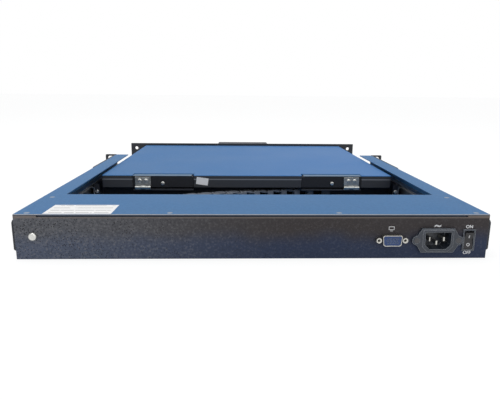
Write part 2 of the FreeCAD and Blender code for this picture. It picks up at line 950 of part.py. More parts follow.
def drawer_tray():
    """The folded tray: floor, front and rear walls, and sides that run back as arms to the hinges."""
    floor = box(-slide_face, slide_face, front_rear_face, tray_rear, tray_bottom, tray_floor)
    front = box(-slide_face, slide_face, front_rear_face, front_rear_face + sheet, tray_floor, tray_top)
    rear = box(-slide_face, slide_face, tray_rear - sheet, tray_rear, tray_floor, tray_top)
    flange = box(-slide_face, slide_face, tray_rear - tray_flange, tray_rear, tray_top - sheet, tray_top)
    side = box(slide_face - sheet, slide_face, front_rear_face, lid_rear, tray_bottom, tray_side_top)
    tab = box(slide_face - tab_width, slide_face, lid_rear - sheet, lid_rear, tab_bottom, tray_side_top)
    window_x = chain_start_x + cable_window_offset
    middle = (tray_floor + tray_top) / 2
    low = middle - cable_window_height / 2
    high = middle + cable_window_height / 2
    window = box(window_x, window_x + cable_window_width, tray_rear - sheet - 1, tray_rear + 1, low, high)
    screw = Vector(slide_face - tab_width / 2, lid_rear, tab_screw_z)
    half = cut(join(side, tab), screw_hole(screw, Vector(0, 1, 0), tab_screw_depth))
    step = tray_rear + arm_step
    inside = slide_face - sheet - 1
    half = cut(half, box(inside, slide_face + 1, step, lid_rear + 1, tray_bottom - 1, tab_bottom))
    tools = [window]
    for x, z in bracket_screw_places():
        for s in (-1, 1):
            tools.append(screw_hole(Vector(s * x, tray_rear, z), Vector(0, 1, 0), tab_screw_depth))
    return cut(join(floor, front, rear, flange, half, mirrored(half)), *tools)


def front_panel():
    """The drawer's front plate with a lock hole near each end."""
    half_w = front_width / 2
    half_h = front_height / 2
    plate = box(-half_w, half_w, front_face, front_rear_face, -half_h, half_h)
    plate = bevelled(plate, front_corner, Vector(0, 1, 0))
    tools = []
    for sx in (-1, 1):
        for sz in (-1, 1):
            x = sx * front_hole_x
            z = sz * front_hole_z
            start = Vector(x, front_face - 1, z)
            tools.append(bore(front_hole_radius, start, Vector(x, front_rear_face + 1, z), large_sides))
    return cut(plate, *tools)


def handle():
    """A folded pull: root against the panel, top plate, and a lip turned down for the fingers."""
    nose = front_face - handle_reach
    root = handle_top - handle_root
    section = [
        (front_face, root),
        (front_face, handle_top),
        (nose, handle_top),
        (nose, handle_top - handle_drop),
        (nose + handle_lip, handle_top - handle_drop),
        (nose + handle_lip, handle_top - handle_drop + handle_wall),
        (nose + handle_wall, handle_top - handle_drop + handle_wall),
        (nose + handle_wall, handle_top - handle_wall),
        (front_face - handle_wall, handle_top - handle_wall),
        (front_face - handle_wall, root),
    ]
    half = handle_width / 2
    shape = prism([(-half, y, z) for y, z in section], Vector(handle_width, 0, 0))
    low = (-half, nose, handle_top)
    shape = rounded(shape, handle_edge, Vector(1, 0, 0), low, (half, nose, handle_top))
    ends = edges_along(shape, Vector(0, 0, 1), (-half, nose - 1, -top), (-half, nose + 1, top))
    ends += edges_along(shape, Vector(0, 0, 1), (half, nose - 1, -top), (half, nose + 1, top))
    return shape.makeChamfer(handle_corner, ends)


def release_bar():
    """The spring bar inside the pull that is squeezed upward to free the drawer."""
    y1 = front_face - handle_wall - bar_guide
    z1 = handle_top - handle_wall - bar_travel - bar_clearance
    half = bar_width / 2
    bar = box(-half, half, y1 - bar_depth, y1, z1 - bar_height, z1)
    bar = bevelled(bar, bar_edge, Vector(1, 0, 0))
    guides = []
    for s in (-1, 1):
        x = s * (half - bar_guide_inset)
        rear = y1 + bar_guide - running_gap
        guides.append(box(x, x - s * bar_guide_width, y1 - 1, rear, z1 - bar_height, z1))
    return join(bar, *guides)


# Keyboard and touchpad


def row_y(row):
    """The front edge of a row of keys, with the space bar's row nearest the user."""
    return keyboard_y + (len(key_rows) - 1 - row) * key_pitch


def row_keys(row):
    """Left edge and width of every key in a row."""
    places = []
    x = -keyboard_side
    for units in key_rows[row]:
        places.append((x, units * key_pitch))
        x += units * key_pitch
    return places


def key_row(row):
    """One row of keycaps, each a block whose four sides lean in towards its top."""
    y0 = row_y(row) + key_gap / 2
    y1 = row_y(row) + key_pitch - key_gap / 2
    return [keycap(x + key_gap / 2, x + width - key_gap / 2, y0, y1) for x, width in row_keys(row)]


def keycap(x0, x1, y0, y1):
    """A keycap; its far side is steeper than its near side."""
    low = key_top - key_rise
    t = key_taper
    far = y1 - t * key_lean
    cap = Part.makeWedge(x0, low, -y1, -far, x0 + t, x1, key_top, -y0, -y0 - t, x1 - t)
    cap.rotate(Vector(), Vector(1, 0, 0), 90)
    return cap


def key_field(grow, z0, z1):
    """The rectangle of all the keys."""
    x0 = -keyboard_side - grow
    x1 = -keyboard_side + key_field_width + grow
    return box(x0, x1, keyboard_y - grow, keyboard_y + key_field_depth + grow, z0, z1)


def keyboard_base():
    """The switch plate that the keys are pressed onto."""
    return key_field(base_margin, tray_floor, base_top)


def touch_edges():
    """The touchpad's rectangle: its sides and its near and far edges."""
    y1 = keyboard_y + key_field_depth - base_front_cut
    return touch_x - touch_width / 2, touch_x + touch_width / 2, y1 - touch_depth, y1


def keyboard_bezel():
    """The moulded deck around the keys, the touchpad and its two buttons."""
    side = slide_face - sheet - deck_fit
    y0 = front_rear_face + sheet + deck_fit
    deck = box(-side, side, y0, bezel_rear, bezel_top - bezel_sheet, bezel_top)
    under = bezel_top - bezel_sheet
    wall = bezel_wall
    skirts = [
        box(-side, side, y0, y0 + wall, tray_floor, under),
        box(-side, side, bezel_rear - wall, bezel_rear, tray_floor, under),
        box(-side, -side + wall, y0, bezel_rear, tray_floor, under),
        box(side - wall, side, y0, bezel_rear, tray_floor, under),
    ]
    low = key_top - key_rise - guide_depth
    guides = key_field(bezel_margin, low, under)
    tools = []
    slack = running_gap - key_gap / 2
    for row in range(len(key_rows)):
        y = row_y(row)
        x0 = -keyboard_side - slack
        x1 = -keyboard_side + key_field_width + slack
        tools.append(box(x0, x1, y - slack, y + key_pitch + slack, low - 1, bezel_top + 1))
    tx0, tx1, ty0, ty1 = touch_edges()
    gap = running_gap
    tools.append(box(tx0 - gap, tx1 + gap, ty0 - gap, ty1 + gap, under - 1, bezel_top + 1))
    by1 = ty0 - button_gap
    tools.append(box(tx0 - gap, tx1 + gap, by1 - button_depth - gap, by1 + gap, under - 1, bezel_top + 1))
    shape = cut(join(deck, guides, *skirts), *tools)
    far = (side, bezel_rear, bezel_top)
    return bevelled(shape, bezel_edge, Vector(0, 1, 0), (-side, y0, bezel_top), far)


def touchpad():
    """The sensing plate, a little below the deck, on a block that stands on the tray."""
    tx0, tx1, ty0, ty1 = touch_edges()
    plate = box(tx0, tx1, ty0, ty1, bezel_top - touch_recess - touch_plate, bezel_top - touch_recess)
    inset = touch_foot_inset
    under = bezel_top - touch_recess - touch_plate
    foot = box(tx0 + inset, tx1 - inset, ty0 + inset, ty1 - inset, tray_floor, under)
    return join(plate, foot)


def touch_button(side):
    """One of the two buttons in front of the touchpad, with its plunger."""
    tx0, tx1, ty0, ty1 = touch_edges()
    middle = (tx0 + tx1) / 2
    x0, x1 = (tx0, middle - running_gap) if side < 0 else (middle + running_gap, tx1)
    y1 = ty0 - button_gap
    low = bezel_top - bezel_sheet
    cap = box(x0, x1, y1 - button_depth, y1, low, bezel_top + button_rise)
    cx = (x0 + x1) / 2
    cy = y1 - button_depth / 2
    w = plunger_half_width
    d = plunger_half_depth
    plunger = box(cx - w, cx + w, cy - d, cy + d, tray_floor + button_travel + plunger_rest, low)
    return join(cap, plunger)


# Electronics bay


def bay_limits():
    """The space between the keyboard deck and the tray's rear wall."""
    return bezel_rear + bay_gap, tray_rear - sheet - bay_gap


def bay_cover():
    """The folded cover over the two circuit boards."""
    y0, y1 = bay_limits()
    side = slide_face - sheet - deck_fit
    under = bay_cover_top - bay_cover_sheet
    plate = box(-side, side, y0, tray_rear - tray_flange - deck_fit, under, bay_cover_top)
    front = box(-side, side, y0, y0 + bay_cover_sheet, tray_floor, under)
    ends = []
    for s in (-1, 1):
        ends.append(box(s * (side - bay_cover_sheet), s * side, y0, y1 - tray_flange, tray_floor, under))
    return join(plate, front, *ends)


def circuit_board(x, width, depth, blocks):
    """A board on four posts; each block on it has its place, size and height as shares of the room."""
    y0, y1 = bay_limits()
    cy = (y0 + bay_cover_sheet + y1) / 2
    z0 = tray_floor + standoff_height
    z1 = z0 + board_thickness
    plate = box(x - width / 2, x + width / 2, cy - depth / 2, cy + depth / 2, z0, z1)
    posts = []
    for sx in (-1, 1):
        for sy in (-1, 1):
            px = x + sx * (width / 2 - board_margin)
            py = cy + sy * (depth / 2 - board_margin)
            posts.append(pin(standoff_radius, Vector(px, py, tray_floor), Vector(px, py, z0)))
    room = bay_cover_top - bay_cover_sheet - board_headroom - z1
    chips = []
    for bx, by, bw, bd, share in blocks:
        chips.append(
            box(
                x + (bx - bw / 2) * width,
                x + (bx + bw / 2) * width,
                cy + (by - bd / 2) * depth,
                cy + (by + bd / 2) * depth,
                z1,
                z1 + room * share,
            )
        )
    return join(plate, *(posts + chips))


def power_board():
    """The supply board: transformer, two smoothing capacitors and a heat sink."""
    transformer = (-0.1, 0.0, 0.24, 0.36, 0.95)
    capacitors = [(-0.36, side * 0.2, 0.12, 0.2, 0.9) for side in (-1, 1)]
    heat_sink = (0.3, 0.1, 0.04, 0.6, 1.0)
    return circuit_board(power_x, power_width, power_depth, [transformer, heat_sink] + capacitors)


def control_board():
    """The screen controller board: processor, two connectors and a coil."""
    processor = (0.0, 0.0, 0.14, 0.24, 0.2)
    connectors = [(side * 0.28, 0.38, 0.22, 0.08, 0.5) for side in (-1, 1)]
    coil = (0.32, -0.2, 0.08, 0.14, 0.4)
    return circuit_board(control_x, control_width, control_depth, [processor, coil] + connectors)


# Screen lid


def notch_box(grow, z0, z1):
    """The space of the right-hand hinge cover at the lid's rear edge."""
    return box(notch_inner - grow, notch_outer + grow, lid_rear - notch_depth - grow, lid_rear + 1, z0, z1)


def lid_shell():
    """The screen's back shell: a shallow pressed pan with two notches for the hinge covers."""
    outer = box(-lid_half, lid_half, lid_front, lid_rear, lid_bottom, lid_top)
    outer = rounded(outer, lid_corner, Vector(0, 0, 1))
    rims = [edge for edge in outer.Edges if edge.BoundBox.ZMin > lid_top - 0.01]
    outer = outer.makeChamfer(lid_edge, rims)
    wall = lid_sheet
    x = lid_half - wall
    hollow = box(-x, x, lid_front + wall, lid_rear - wall, lid_bottom - 1, lid_top - wall)
    boss_front = lid_rear - notch_depth - wall
    boss = box(notch_inner - wall, notch_outer + wall, boss_front, lid_rear - wall, lid_bottom, lid_top)
    notch = notch_box(0, lid_bottom - 1, lid_top + 1)
    shape = join(cut(outer, hollow), boss, mirrored(boss))
    return cut(shape, notch, mirrored(notch))


def screen_centre_y():
    """The middle of the picture, counted from the lid's front edge."""
    return lid_front + screen_front_margin + screen_height / 2


def menu_places():
    """Centres of the menu buttons, in the border beside the hinges."""
    y = lid_rear - menu_inset - menu_depth / 2
    return [((k - (menu_count - 1) / 2) * menu_pitch, y) for k in range(menu_count)]


def lid_bezel():
    """The frame around the screen, inset in the pan."""
    wall = lid_sheet + lid_fit
    z1 = lid_bottom + lid_bezel_thickness
    x = lid_half - wall
    frame = box(-x, x, lid_front + wall, lid_rear - wall, lid_bottom, z1)
    cy = screen_centre_y()
    half_w = screen_width / 2
    half_h = screen_height / 2
    window = box(-half_w, half_w, cy - half_h, cy + half_h, lid_bottom - 1, z1 + 1)
    tools = [window]
    notch = notch_box(wall, lid_bottom - 1, z1 + 1)
    tools += [notch, mirrored(notch)]
    for mx, my in menu_places():
        w = menu_width / 2 + running_gap
        d = menu_depth / 2 + running_gap
        tools.append(box(mx - w, mx + w, my - d, my + d, lid_bottom - 1, z1 + 1))
    return cut(frame, *tools)


def lcd_panel():
    """The display module above the bezel, its glass just inside the window."""
    cy = screen_centre_y()
    z0 = lid_bottom + lid_bezel_thickness
    half_w = screen_width / 2 + screen_border
    half_h = screen_height / 2 + screen_border
    body = box(-half_w, half_w, cy - half_h, cy + half_h, z0, z0 + screen_depth)
    glass_w = screen_width / 2 - glass_fit
    glass_h = screen_height / 2 - glass_fit
    glass = box(-glass_w, glass_w, cy - glass_h, cy + glass_h, z0 - glass_drop, z0)
    y0 = cy - half_h + spacer_inset
    y1 = cy + half_h - spacer_inset
    z1 = z0 + screen_depth
    spacers = []
    for s in (-1, 1):
        x = s * (half_w - spacer_inset)
        spacers.append(box(x, x - s * spacer_width, y0, y1, z1, lid_top - lid_sheet))
    return join(body, glass, *spacers)


def menu_buttons():
    """The row of small buttons that set the picture."""
    buttons = []
    z1 = lid_bottom + lid_bezel_thickness + menu_travel
    for x, y in menu_places():
        w = menu_width / 2
        d = menu_depth / 2
        cap = box(x - w, x + w, y - d, y + d, lid_bottom - menu_proud, z1)
        flange = box(x - w - 1, x + w + 1, y - d - 1, y + d + 1, z1, z1 + menu_flange)
        buttons.append(join(cap, flange))
    return buttons


def menu_board():
    """The strip of switches behind the menu buttons, on a post at each end."""
    z0 = lid_bottom + lid_bezel_thickness + 2 * menu_travel + menu_flange + running_gap
    z1 = z0 + board_thickness
    y0 = lid_rear - menu_inset - menu_depth - menu_flange
    y1 = lid_rear - menu_inset + menu_flange
    half = menu_pitch * menu_count / 2 + menu_post
    board = box(-half, half, y0, y1, z0, z1)
    posts = [box(s * (half - menu_post), s * half, y0, y1, z1, lid_top - lid_sheet) for s in (-1, 1)]
    return join(board, *posts)


# Hinges


def hinge_cover():
    """The moulded block that fills a notch, its inner top corner cut off."""
    gap = notch_gap
    low = lid_bottom + hinge_cover_raise
    x0 = notch_inner + gap
    x1 = notch_outer - gap
    block = box(x0, x1, lid_rear - notch_depth + gap, lid_rear, low, hinge_cover_top)
    wedge = prism(
        [
            (x0 - 1, lid_rear - notch_depth, hinge_cover_top + 1),
            (x0 + notch_chamfer, lid_rear - notch_depth, hinge_cover_top + 1),
            (x0 - 1, lid_rear - notch_depth, hinge_cover_top - notch_chamfer),
        ],
        Vector(0, notch_depth + 2, 0),
    )
    tools = [wedge]
    out = Vector(0, 1, 0)
    for x in leaf_screw_places():
        tools.append(screw_hole(Vector(x, lid_rear, leaf_screw_z), out, lid_screw_depth))
    tools.append(screw_hole(Vector(cover_screw_x, lid_rear, cover_screw_z), out, lid_screw_depth))
    return cut(block, *tools)


def leaf_screw_places():
    """The two screws of a hinge leaf."""
    middle = leaf_inner + leaf_width / 2
    return [middle - leaf_screw_spacing / 2, middle + leaf_screw_spacing / 2]


def knuckle(x0, x1):
    """A length of hinge barrel."""
    start = Vector(x0, knuckle_y, knuckle_z)
    return pin(knuckle_radius, start, Vector(x1, knuckle_y, knuckle_z), large_sides)


def barrel_spans():
    """Where the fixed and the moving knuckles start and end along the pin."""
    third = leaf_width / 3
    a = leaf_inner + third
    b = leaf_inner + 2 * third
    return (leaf_inner, a), (a + knuckle_gap, b - knuckle_gap), (b, leaf_inner + leaf_width)


def leaf_moving():
    """The upright leaf on the lid's rear face, with the middle knuckle."""
    first, middle, last = barrel_spans()
    x1 = leaf_inner + leaf_width
    low = knuckle_z + knuckle_radius + running_gap
    plate = box(leaf_inner, x1, lid_rear, lid_rear + leaf_thickness, low, leaf_top)
    neck = box(middle[0], middle[1], lid_rear, lid_rear + leaf_thickness, knuckle_z, leaf_top - 2)
    barrel = knuckle(*middle)
    start = Vector(middle[0] - 1, knuckle_y, knuckle_z)
    tools = [bore(hinge_pin + hinge_running, start, Vector(middle[1] + 1, knuckle_y, knuckle_z))]
    for x in leaf_screw_places():
        point = Vector(x, lid_rear + leaf_thickness, leaf_screw_z)
        tools.append(screw_hole(point, Vector(0, 1, 0), leaf_thickness + 1))
    return cut(join(plate, neck, barrel), *tools)


def leaf_fixed():
    """The flat leaf on the drawer's bracket, with the outer knuckles and the pin."""
    first, middle, last = barrel_spans()
    x1 = leaf_inner + leaf_width
    low = bracket_top
    rear = knuckle_y - knuckle_radius - knuckle_gap
    plate = box(leaf_inner, x1, lid_rear - leaf_depth, rear, low, low + leaf_thickness)
    necks = [box(a, b, rear, knuckle_y, low, low + leaf_thickness) for a, b in (first, last)]
    barrels = [knuckle(*first), knuckle(*last)]
    core = pin(hinge_pin, Vector(first[0], knuckle_y, knuckle_z), Vector(last[1], knuckle_y, knuckle_z))
    return join(plate, core, *(necks + barrels))


def bracket_screw_places():
    """The two screws of a hinge bracket, one near each end of its wall."""
    x0 = notch_inner + notch_gap + bracket_screw_inset
    x1 = notch_outer - notch_gap - bracket_screw_inset
    z = bracket_top - bracket_thickness - bracket_screw_drop
    return [(x0, z), (x1, z)]


def hinge_bracket():
    """The bracket that carries a hinge from the tray's rear wall, over the cable chain."""
    x0 = notch_inner + notch_gap
    x1 = notch_outer - notch_gap
    shelf = box(x0, x1, tray_rear, lid_rear, bracket_top - bracket_thickness, bracket_top)
    wall = box(x0, x1, tray_rear, tray_rear + bracket_wall, bracket_top - bracket_drop, bracket_top)
    seat = tray_rear + bracket_wall
    out = Vector(0, 1, 0)
    holes = [screw_hole(Vector(x, seat, z), out, bracket_wall + 1) for x, z in bracket_screw_places()]
    return cut(join(shelf, wall), *holes)


def hinge_screws():
    """Leaf screws and the single screw of each hinge cover."""
    out = Vector(0, 1, 0)
    face = lid_rear + leaf_thickness
    reach = lid_screw_depth - 1
    right = [domed_screw(Vector(x, face, leaf_screw_z), out, reach) for x in leaf_screw_places()]
    right.append(domed_screw(Vector(cover_screw_x, lid_rear, cover_screw_z), out, reach))
    return right + [mirrored(screw) for screw in right]


def drawer_screws():
    """The screw in each arm's rear tab, and two that hold each hinge bracket to the tray."""
    out = Vector(0, 1, 0)
    tab = Vector(slide_face - tab_width / 2, lid_rear, tab_screw_z)
    right = [domed_screw(tab, out, reach=sheet + shank_reach)]
    for x, z in bracket_screw_places():
        right.append(domed_screw(Vector(x, tray_rear + bracket_wall, z), out, height=bracket_screw_height))
    return right + [mirrored(screw) for screw in right]


# Cable chain


def chain_link():
    """One link: outer cheeks and a hole at its start, inner cheeks with pins at its end."""
    half = link_width / 2
    z1 = link_top
    z0 = link_top - link_height
    start = (link_pitch - link_body) / 2
    end = link_pitch - start
    step = cheek + cheek_gap
    tube = box(start, end, -half, half, z0, z1)
    inside = half - link_wall
    hollow = box(start - 1, end + 1, -inside, inside, z0 + cheek + step, z1 - cheek - step)
    solids = [cut(tube, hollow)]
    for low, pivot, root in (
        (z1 - cheek, 0, start),
        (z0, 0, start),
        (z1 - cheek - step, link_pitch, end),
        (z0 + step, link_pitch, end),
    ):
        tip = pivot + math.copysign(link_tip, pivot - root)
        near = [(root, -half), (pivot, -half), (tip, -link_nose)]
        outline = near + [(x, -y) for x, y in reversed(near)]
        solids.append(prism([(x, y, low) for x, y in outline], Vector(0, 0, cheek)))
    for foot, head in ((z1 - step, z1), (z0, z0 + step)):
        solids.append(pin(link_pin, Vector(link_pitch, 0, foot), Vector(link_pitch, 0, head)))
    hole = bore(link_pin + pin_clearance, Vector(0, 0, z0 - 1), Vector(0, 0, z1 + 1))
    return cut(join(*solids), hole)


def chain_turns():
    """How far each link turns from the one before it, by the link's number."""
    turns = {}
    for places, turn in (
        (run_turns_at, run_turn),
        (bend_turns_at, bend_turn),
        (crook_turns_at, crook_turn),
        (return_turns_at, return_turn),
    ):
        for place in places:
            turns[place] = turn
    return turns


def chain_places():
    """Start and heading of every link, stretch by stretch, from the drawer's end to the chassis."""
    x = chain_start_x
    y = chain_start_y
    heading = chain_heading
    turns = chain_turns()
    number = 0
    groups = []
    for count in chain_groups:
        group = []
        for _ in range(count):
            heading += turns.get(number, 0)
            group.append((x, y, heading))
            x += link_pitch * math.cos(math.radians(heading))
            y += link_pitch * math.sin(math.radians(heading))
            number += 1
        groups.append(group)
    return groups, (x, y, heading)


def chain_group(group):
    """The links of one stretch."""
    pattern = chain_link()
    links = []
    for x, y, heading in group:
        link = pattern.copy()
        link.rotate(Vector(), Vector(0, 0, 1), heading)
        link.translate(Vector(x, y, 0))
        links.append(link)
    return links


def chain_anchor_drawer():
    """The clevis on the hinge bracket's wall that holds the first link's cheeks."""
    x = chain_start_x
    y = chain_start_y
    seat = tray_rear + bracket_wall
    step = cheek + cheek_gap
    z0 = link_top - link_height + step
    z1 = link_top - step
    nose = anchor_nose
    outline = [
        (x - anchor_back, seat),
        (x + nose, seat),
        (x + nose, y),
        (x, y + nose),
        (x - anchor_back, y + nose),
    ]
    tongues = [prism([(a, b, z) for a, b in outline], Vector(0, 0, cheek)) for z in (z0, z1 - cheek)]
    wall = box(x - anchor_back, x - link_width / 2 - anchor_side_gap, seat, y + nose, z0, z1)
    pins = [
        pin(link_pin, Vector(x, y, z1 - cheek), Vector(x, y, link_top)),
        pin(link_pin, Vector(x, y, link_top - link_height), Vector(x, y, z0 + cheek)),
    ]
    return join(wall, *(tongues + pins))


def chain_anchor_chassis():
    """The foot plate on the chassis floor under the chain's last link."""
    x, y, heading = chain_places()[1]
    half = anchor_width / 2
    end = anchor_overhang
    foot = box(end - anchor_length, end, -half, half, floor_top, floor_top + anchor_plate)
    foot = bevelled(foot, anchor_corner, Vector(0, 0, 1))
    foot.rotate(Vector(), Vector(0, 0, 1), heading)
    foot.translate(Vector(x, y, 0))
    return foot


os.makedirs("parts", exist_ok=True)

save("chassis_tray", chassis_tray())
save("rear_panel", rear_panel())
save("rear_cover", rear_cover())
save("rack_ears", rack_ear(), mirrored(rack_ear()))
save("rear_rails", rear_rail(), mirrored(rear_rail()))
save("chassis_screws", *chassis_screws())
save("ground_screw", ground_screw())
save("video_shell", video_shell())
save("video_insulator", video_insulator())
save("video_jackscrews", *video_jackscrews())
save("inlet_body", inlet_body())
save("inlet_pins", *inlet_pins())
save("switch_frame", switch_frame())
save("rocker", rocker())
save("slides_outer", slide_outer(), mirrored(slide_outer()))
save("slide_middle_right", slide_middle())
save("slide_middle_left", mirrored(slide_middle()))
save("slides_inner", slide_inner(), mirrored(slide_inner()))
save("drawer_tray", drawer_tray())
save("drawer_screws", *drawer_screws())
save("front_panel", front_panel())
save("handle", handle())
save("release_bar", release_bar())
save("keyboard_base", keyboard_base())
save("keyboard_bezel", keyboard_bezel())
for row_number in range(len(key_rows)):
    save("key_row_%d" % (row_number + 1), *key_row(row_number))
save("touchpad", touchpad())
save("touch_button_left", touch_button(-1))
save("touch_button_right", touch_button(1))
save("bay_cover", bay_cover())
save("power_board", power_board())
save("control_board", control_board())
save("lid_shell", lid_shell())
save("lid_bezel", lid_bezel())
save("lcd_panel", lcd_panel())
save("menu_buttons", *menu_buttons())
save("menu_board", menu_board())
save("hinge_covers", hinge_cover(), mirrored(hinge_cover()))
save("hinge_leaves_lid", leaf_moving(), mirrored(leaf_moving()))
save("hinge_leaves_drawer", leaf_fixed(), mirrored(leaf_fixed()))
save("hinge_brackets", hinge_bracket(), mirrored(hinge_bracket()))
save("hinge_screws", *hinge_screws())
save("chain_anchor_drawer", chain_anchor_drawer())
save("chain_anchor_chassis", chain_anchor_chassis())
for group_number, links in enumerate(chain_places()[0]):
    save("chain_%02d" % (group_number + 1), *chain_group(links))
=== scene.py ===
"""The looks of a rack drawer with a folding screen, seen from behind with its drawer partly out."""

import json
import math
import random

import bmesh
import bpy
from mathutils import Matrix, Vector
from mathutils.bvhtree import BVHTree


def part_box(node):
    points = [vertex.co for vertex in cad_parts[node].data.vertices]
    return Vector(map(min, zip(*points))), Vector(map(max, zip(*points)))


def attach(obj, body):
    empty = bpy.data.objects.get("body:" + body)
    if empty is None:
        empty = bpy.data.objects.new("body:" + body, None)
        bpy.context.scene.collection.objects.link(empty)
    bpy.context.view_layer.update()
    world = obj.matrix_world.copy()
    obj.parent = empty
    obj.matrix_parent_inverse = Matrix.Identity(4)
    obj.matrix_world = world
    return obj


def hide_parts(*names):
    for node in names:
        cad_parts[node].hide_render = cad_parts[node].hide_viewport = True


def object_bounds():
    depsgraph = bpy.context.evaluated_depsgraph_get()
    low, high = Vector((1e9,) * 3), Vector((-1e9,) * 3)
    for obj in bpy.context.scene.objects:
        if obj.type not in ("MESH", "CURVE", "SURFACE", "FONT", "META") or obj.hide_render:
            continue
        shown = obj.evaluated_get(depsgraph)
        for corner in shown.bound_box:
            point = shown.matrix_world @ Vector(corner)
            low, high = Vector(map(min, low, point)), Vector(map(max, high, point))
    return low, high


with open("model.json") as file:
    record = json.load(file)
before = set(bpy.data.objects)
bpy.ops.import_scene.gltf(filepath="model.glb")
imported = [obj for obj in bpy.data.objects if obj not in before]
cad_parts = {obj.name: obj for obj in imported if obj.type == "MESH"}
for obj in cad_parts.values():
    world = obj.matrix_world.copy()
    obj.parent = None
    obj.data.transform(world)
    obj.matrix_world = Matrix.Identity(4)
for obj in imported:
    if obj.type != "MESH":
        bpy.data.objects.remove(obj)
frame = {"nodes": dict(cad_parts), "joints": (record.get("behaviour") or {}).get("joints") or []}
packed_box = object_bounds()


# Studio. A pale floor under the drawer, with soft light from above and from the camera's side.
# The floor and the surroundings look white to the camera and in reflections.


class Wire:
    """A value that runs between the nodes of a finish. Arithmetic on it adds Math nodes."""

    def __init__(self, socket):
        self.socket = socket

    def maths(self, operation, first, second):
        node = self.socket.id_data.nodes.new("ShaderNodeMath")
        node.operation = operation
        for socket, value in zip(node.inputs, (first, second)):
            if isinstance(value, Wire):
                self.socket.id_data.links.new(value.socket, socket)
            else:
                socket.default_value = value
        return Wire(node.outputs[0])

    def __add__(self, other):
        return self.maths("ADD", self, other)

    def __radd__(self, other):
        return self.maths("ADD", other, self)

    def __sub__(self, other):
        return self.maths("SUBTRACT", self, other)

    def __rsub__(self, other):
        return self.maths("SUBTRACT", other, self)

    def __mul__(self, other):
        return self.maths("MULTIPLY", self, other)

    def __rmul__(self, other):
        return self.maths("MULTIPLY", other, self)

    def __gt__(self, other):
        return self.maths("GREATER_THAN", self, other)

    def __lt__(self, other):
        return self.maths("LESS_THAN", self, other)

    def most(self, other):
        return self.maths("MAXIMUM", self, other)

    def folded(self, other):
        return self.maths("PINGPONG", self, other)


class Nodes:
    """A tree of nodes, and the one method that adds a node to it."""

    def __init__(self, tree):
        self.tree = tree

    def node(self, kind, settings=None, sockets=None, out=0):
        """Adds a node, with its settings first and then the values or wires of its sockets."""
        made = self.tree.nodes.new(kind)
        for name, value in (settings or {}).items():
            setattr(made, name, value)
        for name, value in (sockets or {}).items():
            if isinstance(value, Wire):
                self.tree.links.new(value.socket, made.inputs[name])
            else:
                made.inputs[name].default_value = value
        return Wire(made.outputs[out])

    def seen_directly(self):
        """1 for rays that the camera, a mirror or a glass sends out, and 0 for light on its way."""
        camera_ray, glossy_ray, clear_ray = [self.node("ShaderNodeLightPath", out=kind) for kind in
                                             ("Is Camera Ray", "Is Glossy Ray", "Is Transmission Ray")]
        return camera_ray.most(glossy_ray).most(clear_ray)


class Finish(Nodes):
    """One material, with the nodes that lead to its shader."""

    def __init__(self, name, plain=None):
        self.material = bpy.data.materials.new(name)
        self.material.use_nodes = True
        super().__init__(self.material.node_tree)
        self.shader = self.tree.nodes["Principled BSDF"]
        for socket, value in (plain or {}).items():
            self.shader.inputs[socket].default_value = value

    def place(self, axis=None):
        """Where a point lies in the part's own frame, or one coordinate of it, in metres."""
        where = self.node("ShaderNodeTexCoord", out="Object")
        if axis is None:
            return where
        return self.node("ShaderNodeSeparateXYZ", sockets={0: where}, out=axis)

    def noise(self, size, detail=2.0, stretch=None):
        """Uneven cloudiness from 0 to 1, with patches of about the given size in metres."""
        where = self.place()
        if stretch:
            where = self.node("ShaderNodeMapping", sockets={"Vector": where, "Scale": stretch})
        sockets = {"Vector": where, "Scale": 1 / size, "Detail": detail}
        return self.node("ShaderNodeTexNoise", sockets=sockets, out="Fac")

    def cells(self, per_metre, out):
        """A pattern of uneven cells: the distance from their middles, or a colour for each."""
        sockets = {"Vector": self.place(), "Scale": per_metre}
        return self.node("ShaderNodeTexVoronoi", sockets=sockets, out=out)

    def step(self, value, low, high):
        """0 below the low value, 1 above the high one, and smooth between them."""
        sockets = {"Value": value, "From Min": low, "From Max": high}
        return self.node("ShaderNodeMapRange", {"interpolation_type": "SMOOTHSTEP"}, sockets)

    def mixed(self, share, first, second):
        """A colour between two."""
        sockets = {0: share, 6: first, 7: second}
        for key in (6, 7):
            if not isinstance(sockets[key], Wire):
                sockets[key] = (*sockets[key], 1.0)
        return self.node("ShaderNodeMix", {"data_type": "RGBA"}, sockets, out=2)

    def edges(self, radius):
        """The normal over softened edges, and a mask that is 1 along them."""
        soft = self.node("ShaderNodeBevel", {"samples": 6}, {"Radius": radius})
        flat = self.node("ShaderNodeNewGeometry", out="Normal")
        match = self.node("ShaderNodeVectorMath", {"operation": "DOT_PRODUCT"}, {0: soft, 1: flat}, "Value")
        return soft, self.step(1 - match, 0.01, 0.12)

    def feed(self, colour, rough, height, strength, depth, soft=None):
        """Wires to the shader's colour and roughness, and a bump to its normal."""
        self.tree.links.new(colour.socket, self.shader.inputs["Base Color"])
        self.tree.links.new(rough.socket, self.shader.inputs["Roughness"])
        sockets = {"Height": height, "Strength": strength, "Distance": depth}
        if soft:
            sockets["Normal"] = soft
        bump = self.node("ShaderNodeBump", sockets=sockets)
        self.tree.links.new(bump.socket, self.shader.inputs["Normal"])


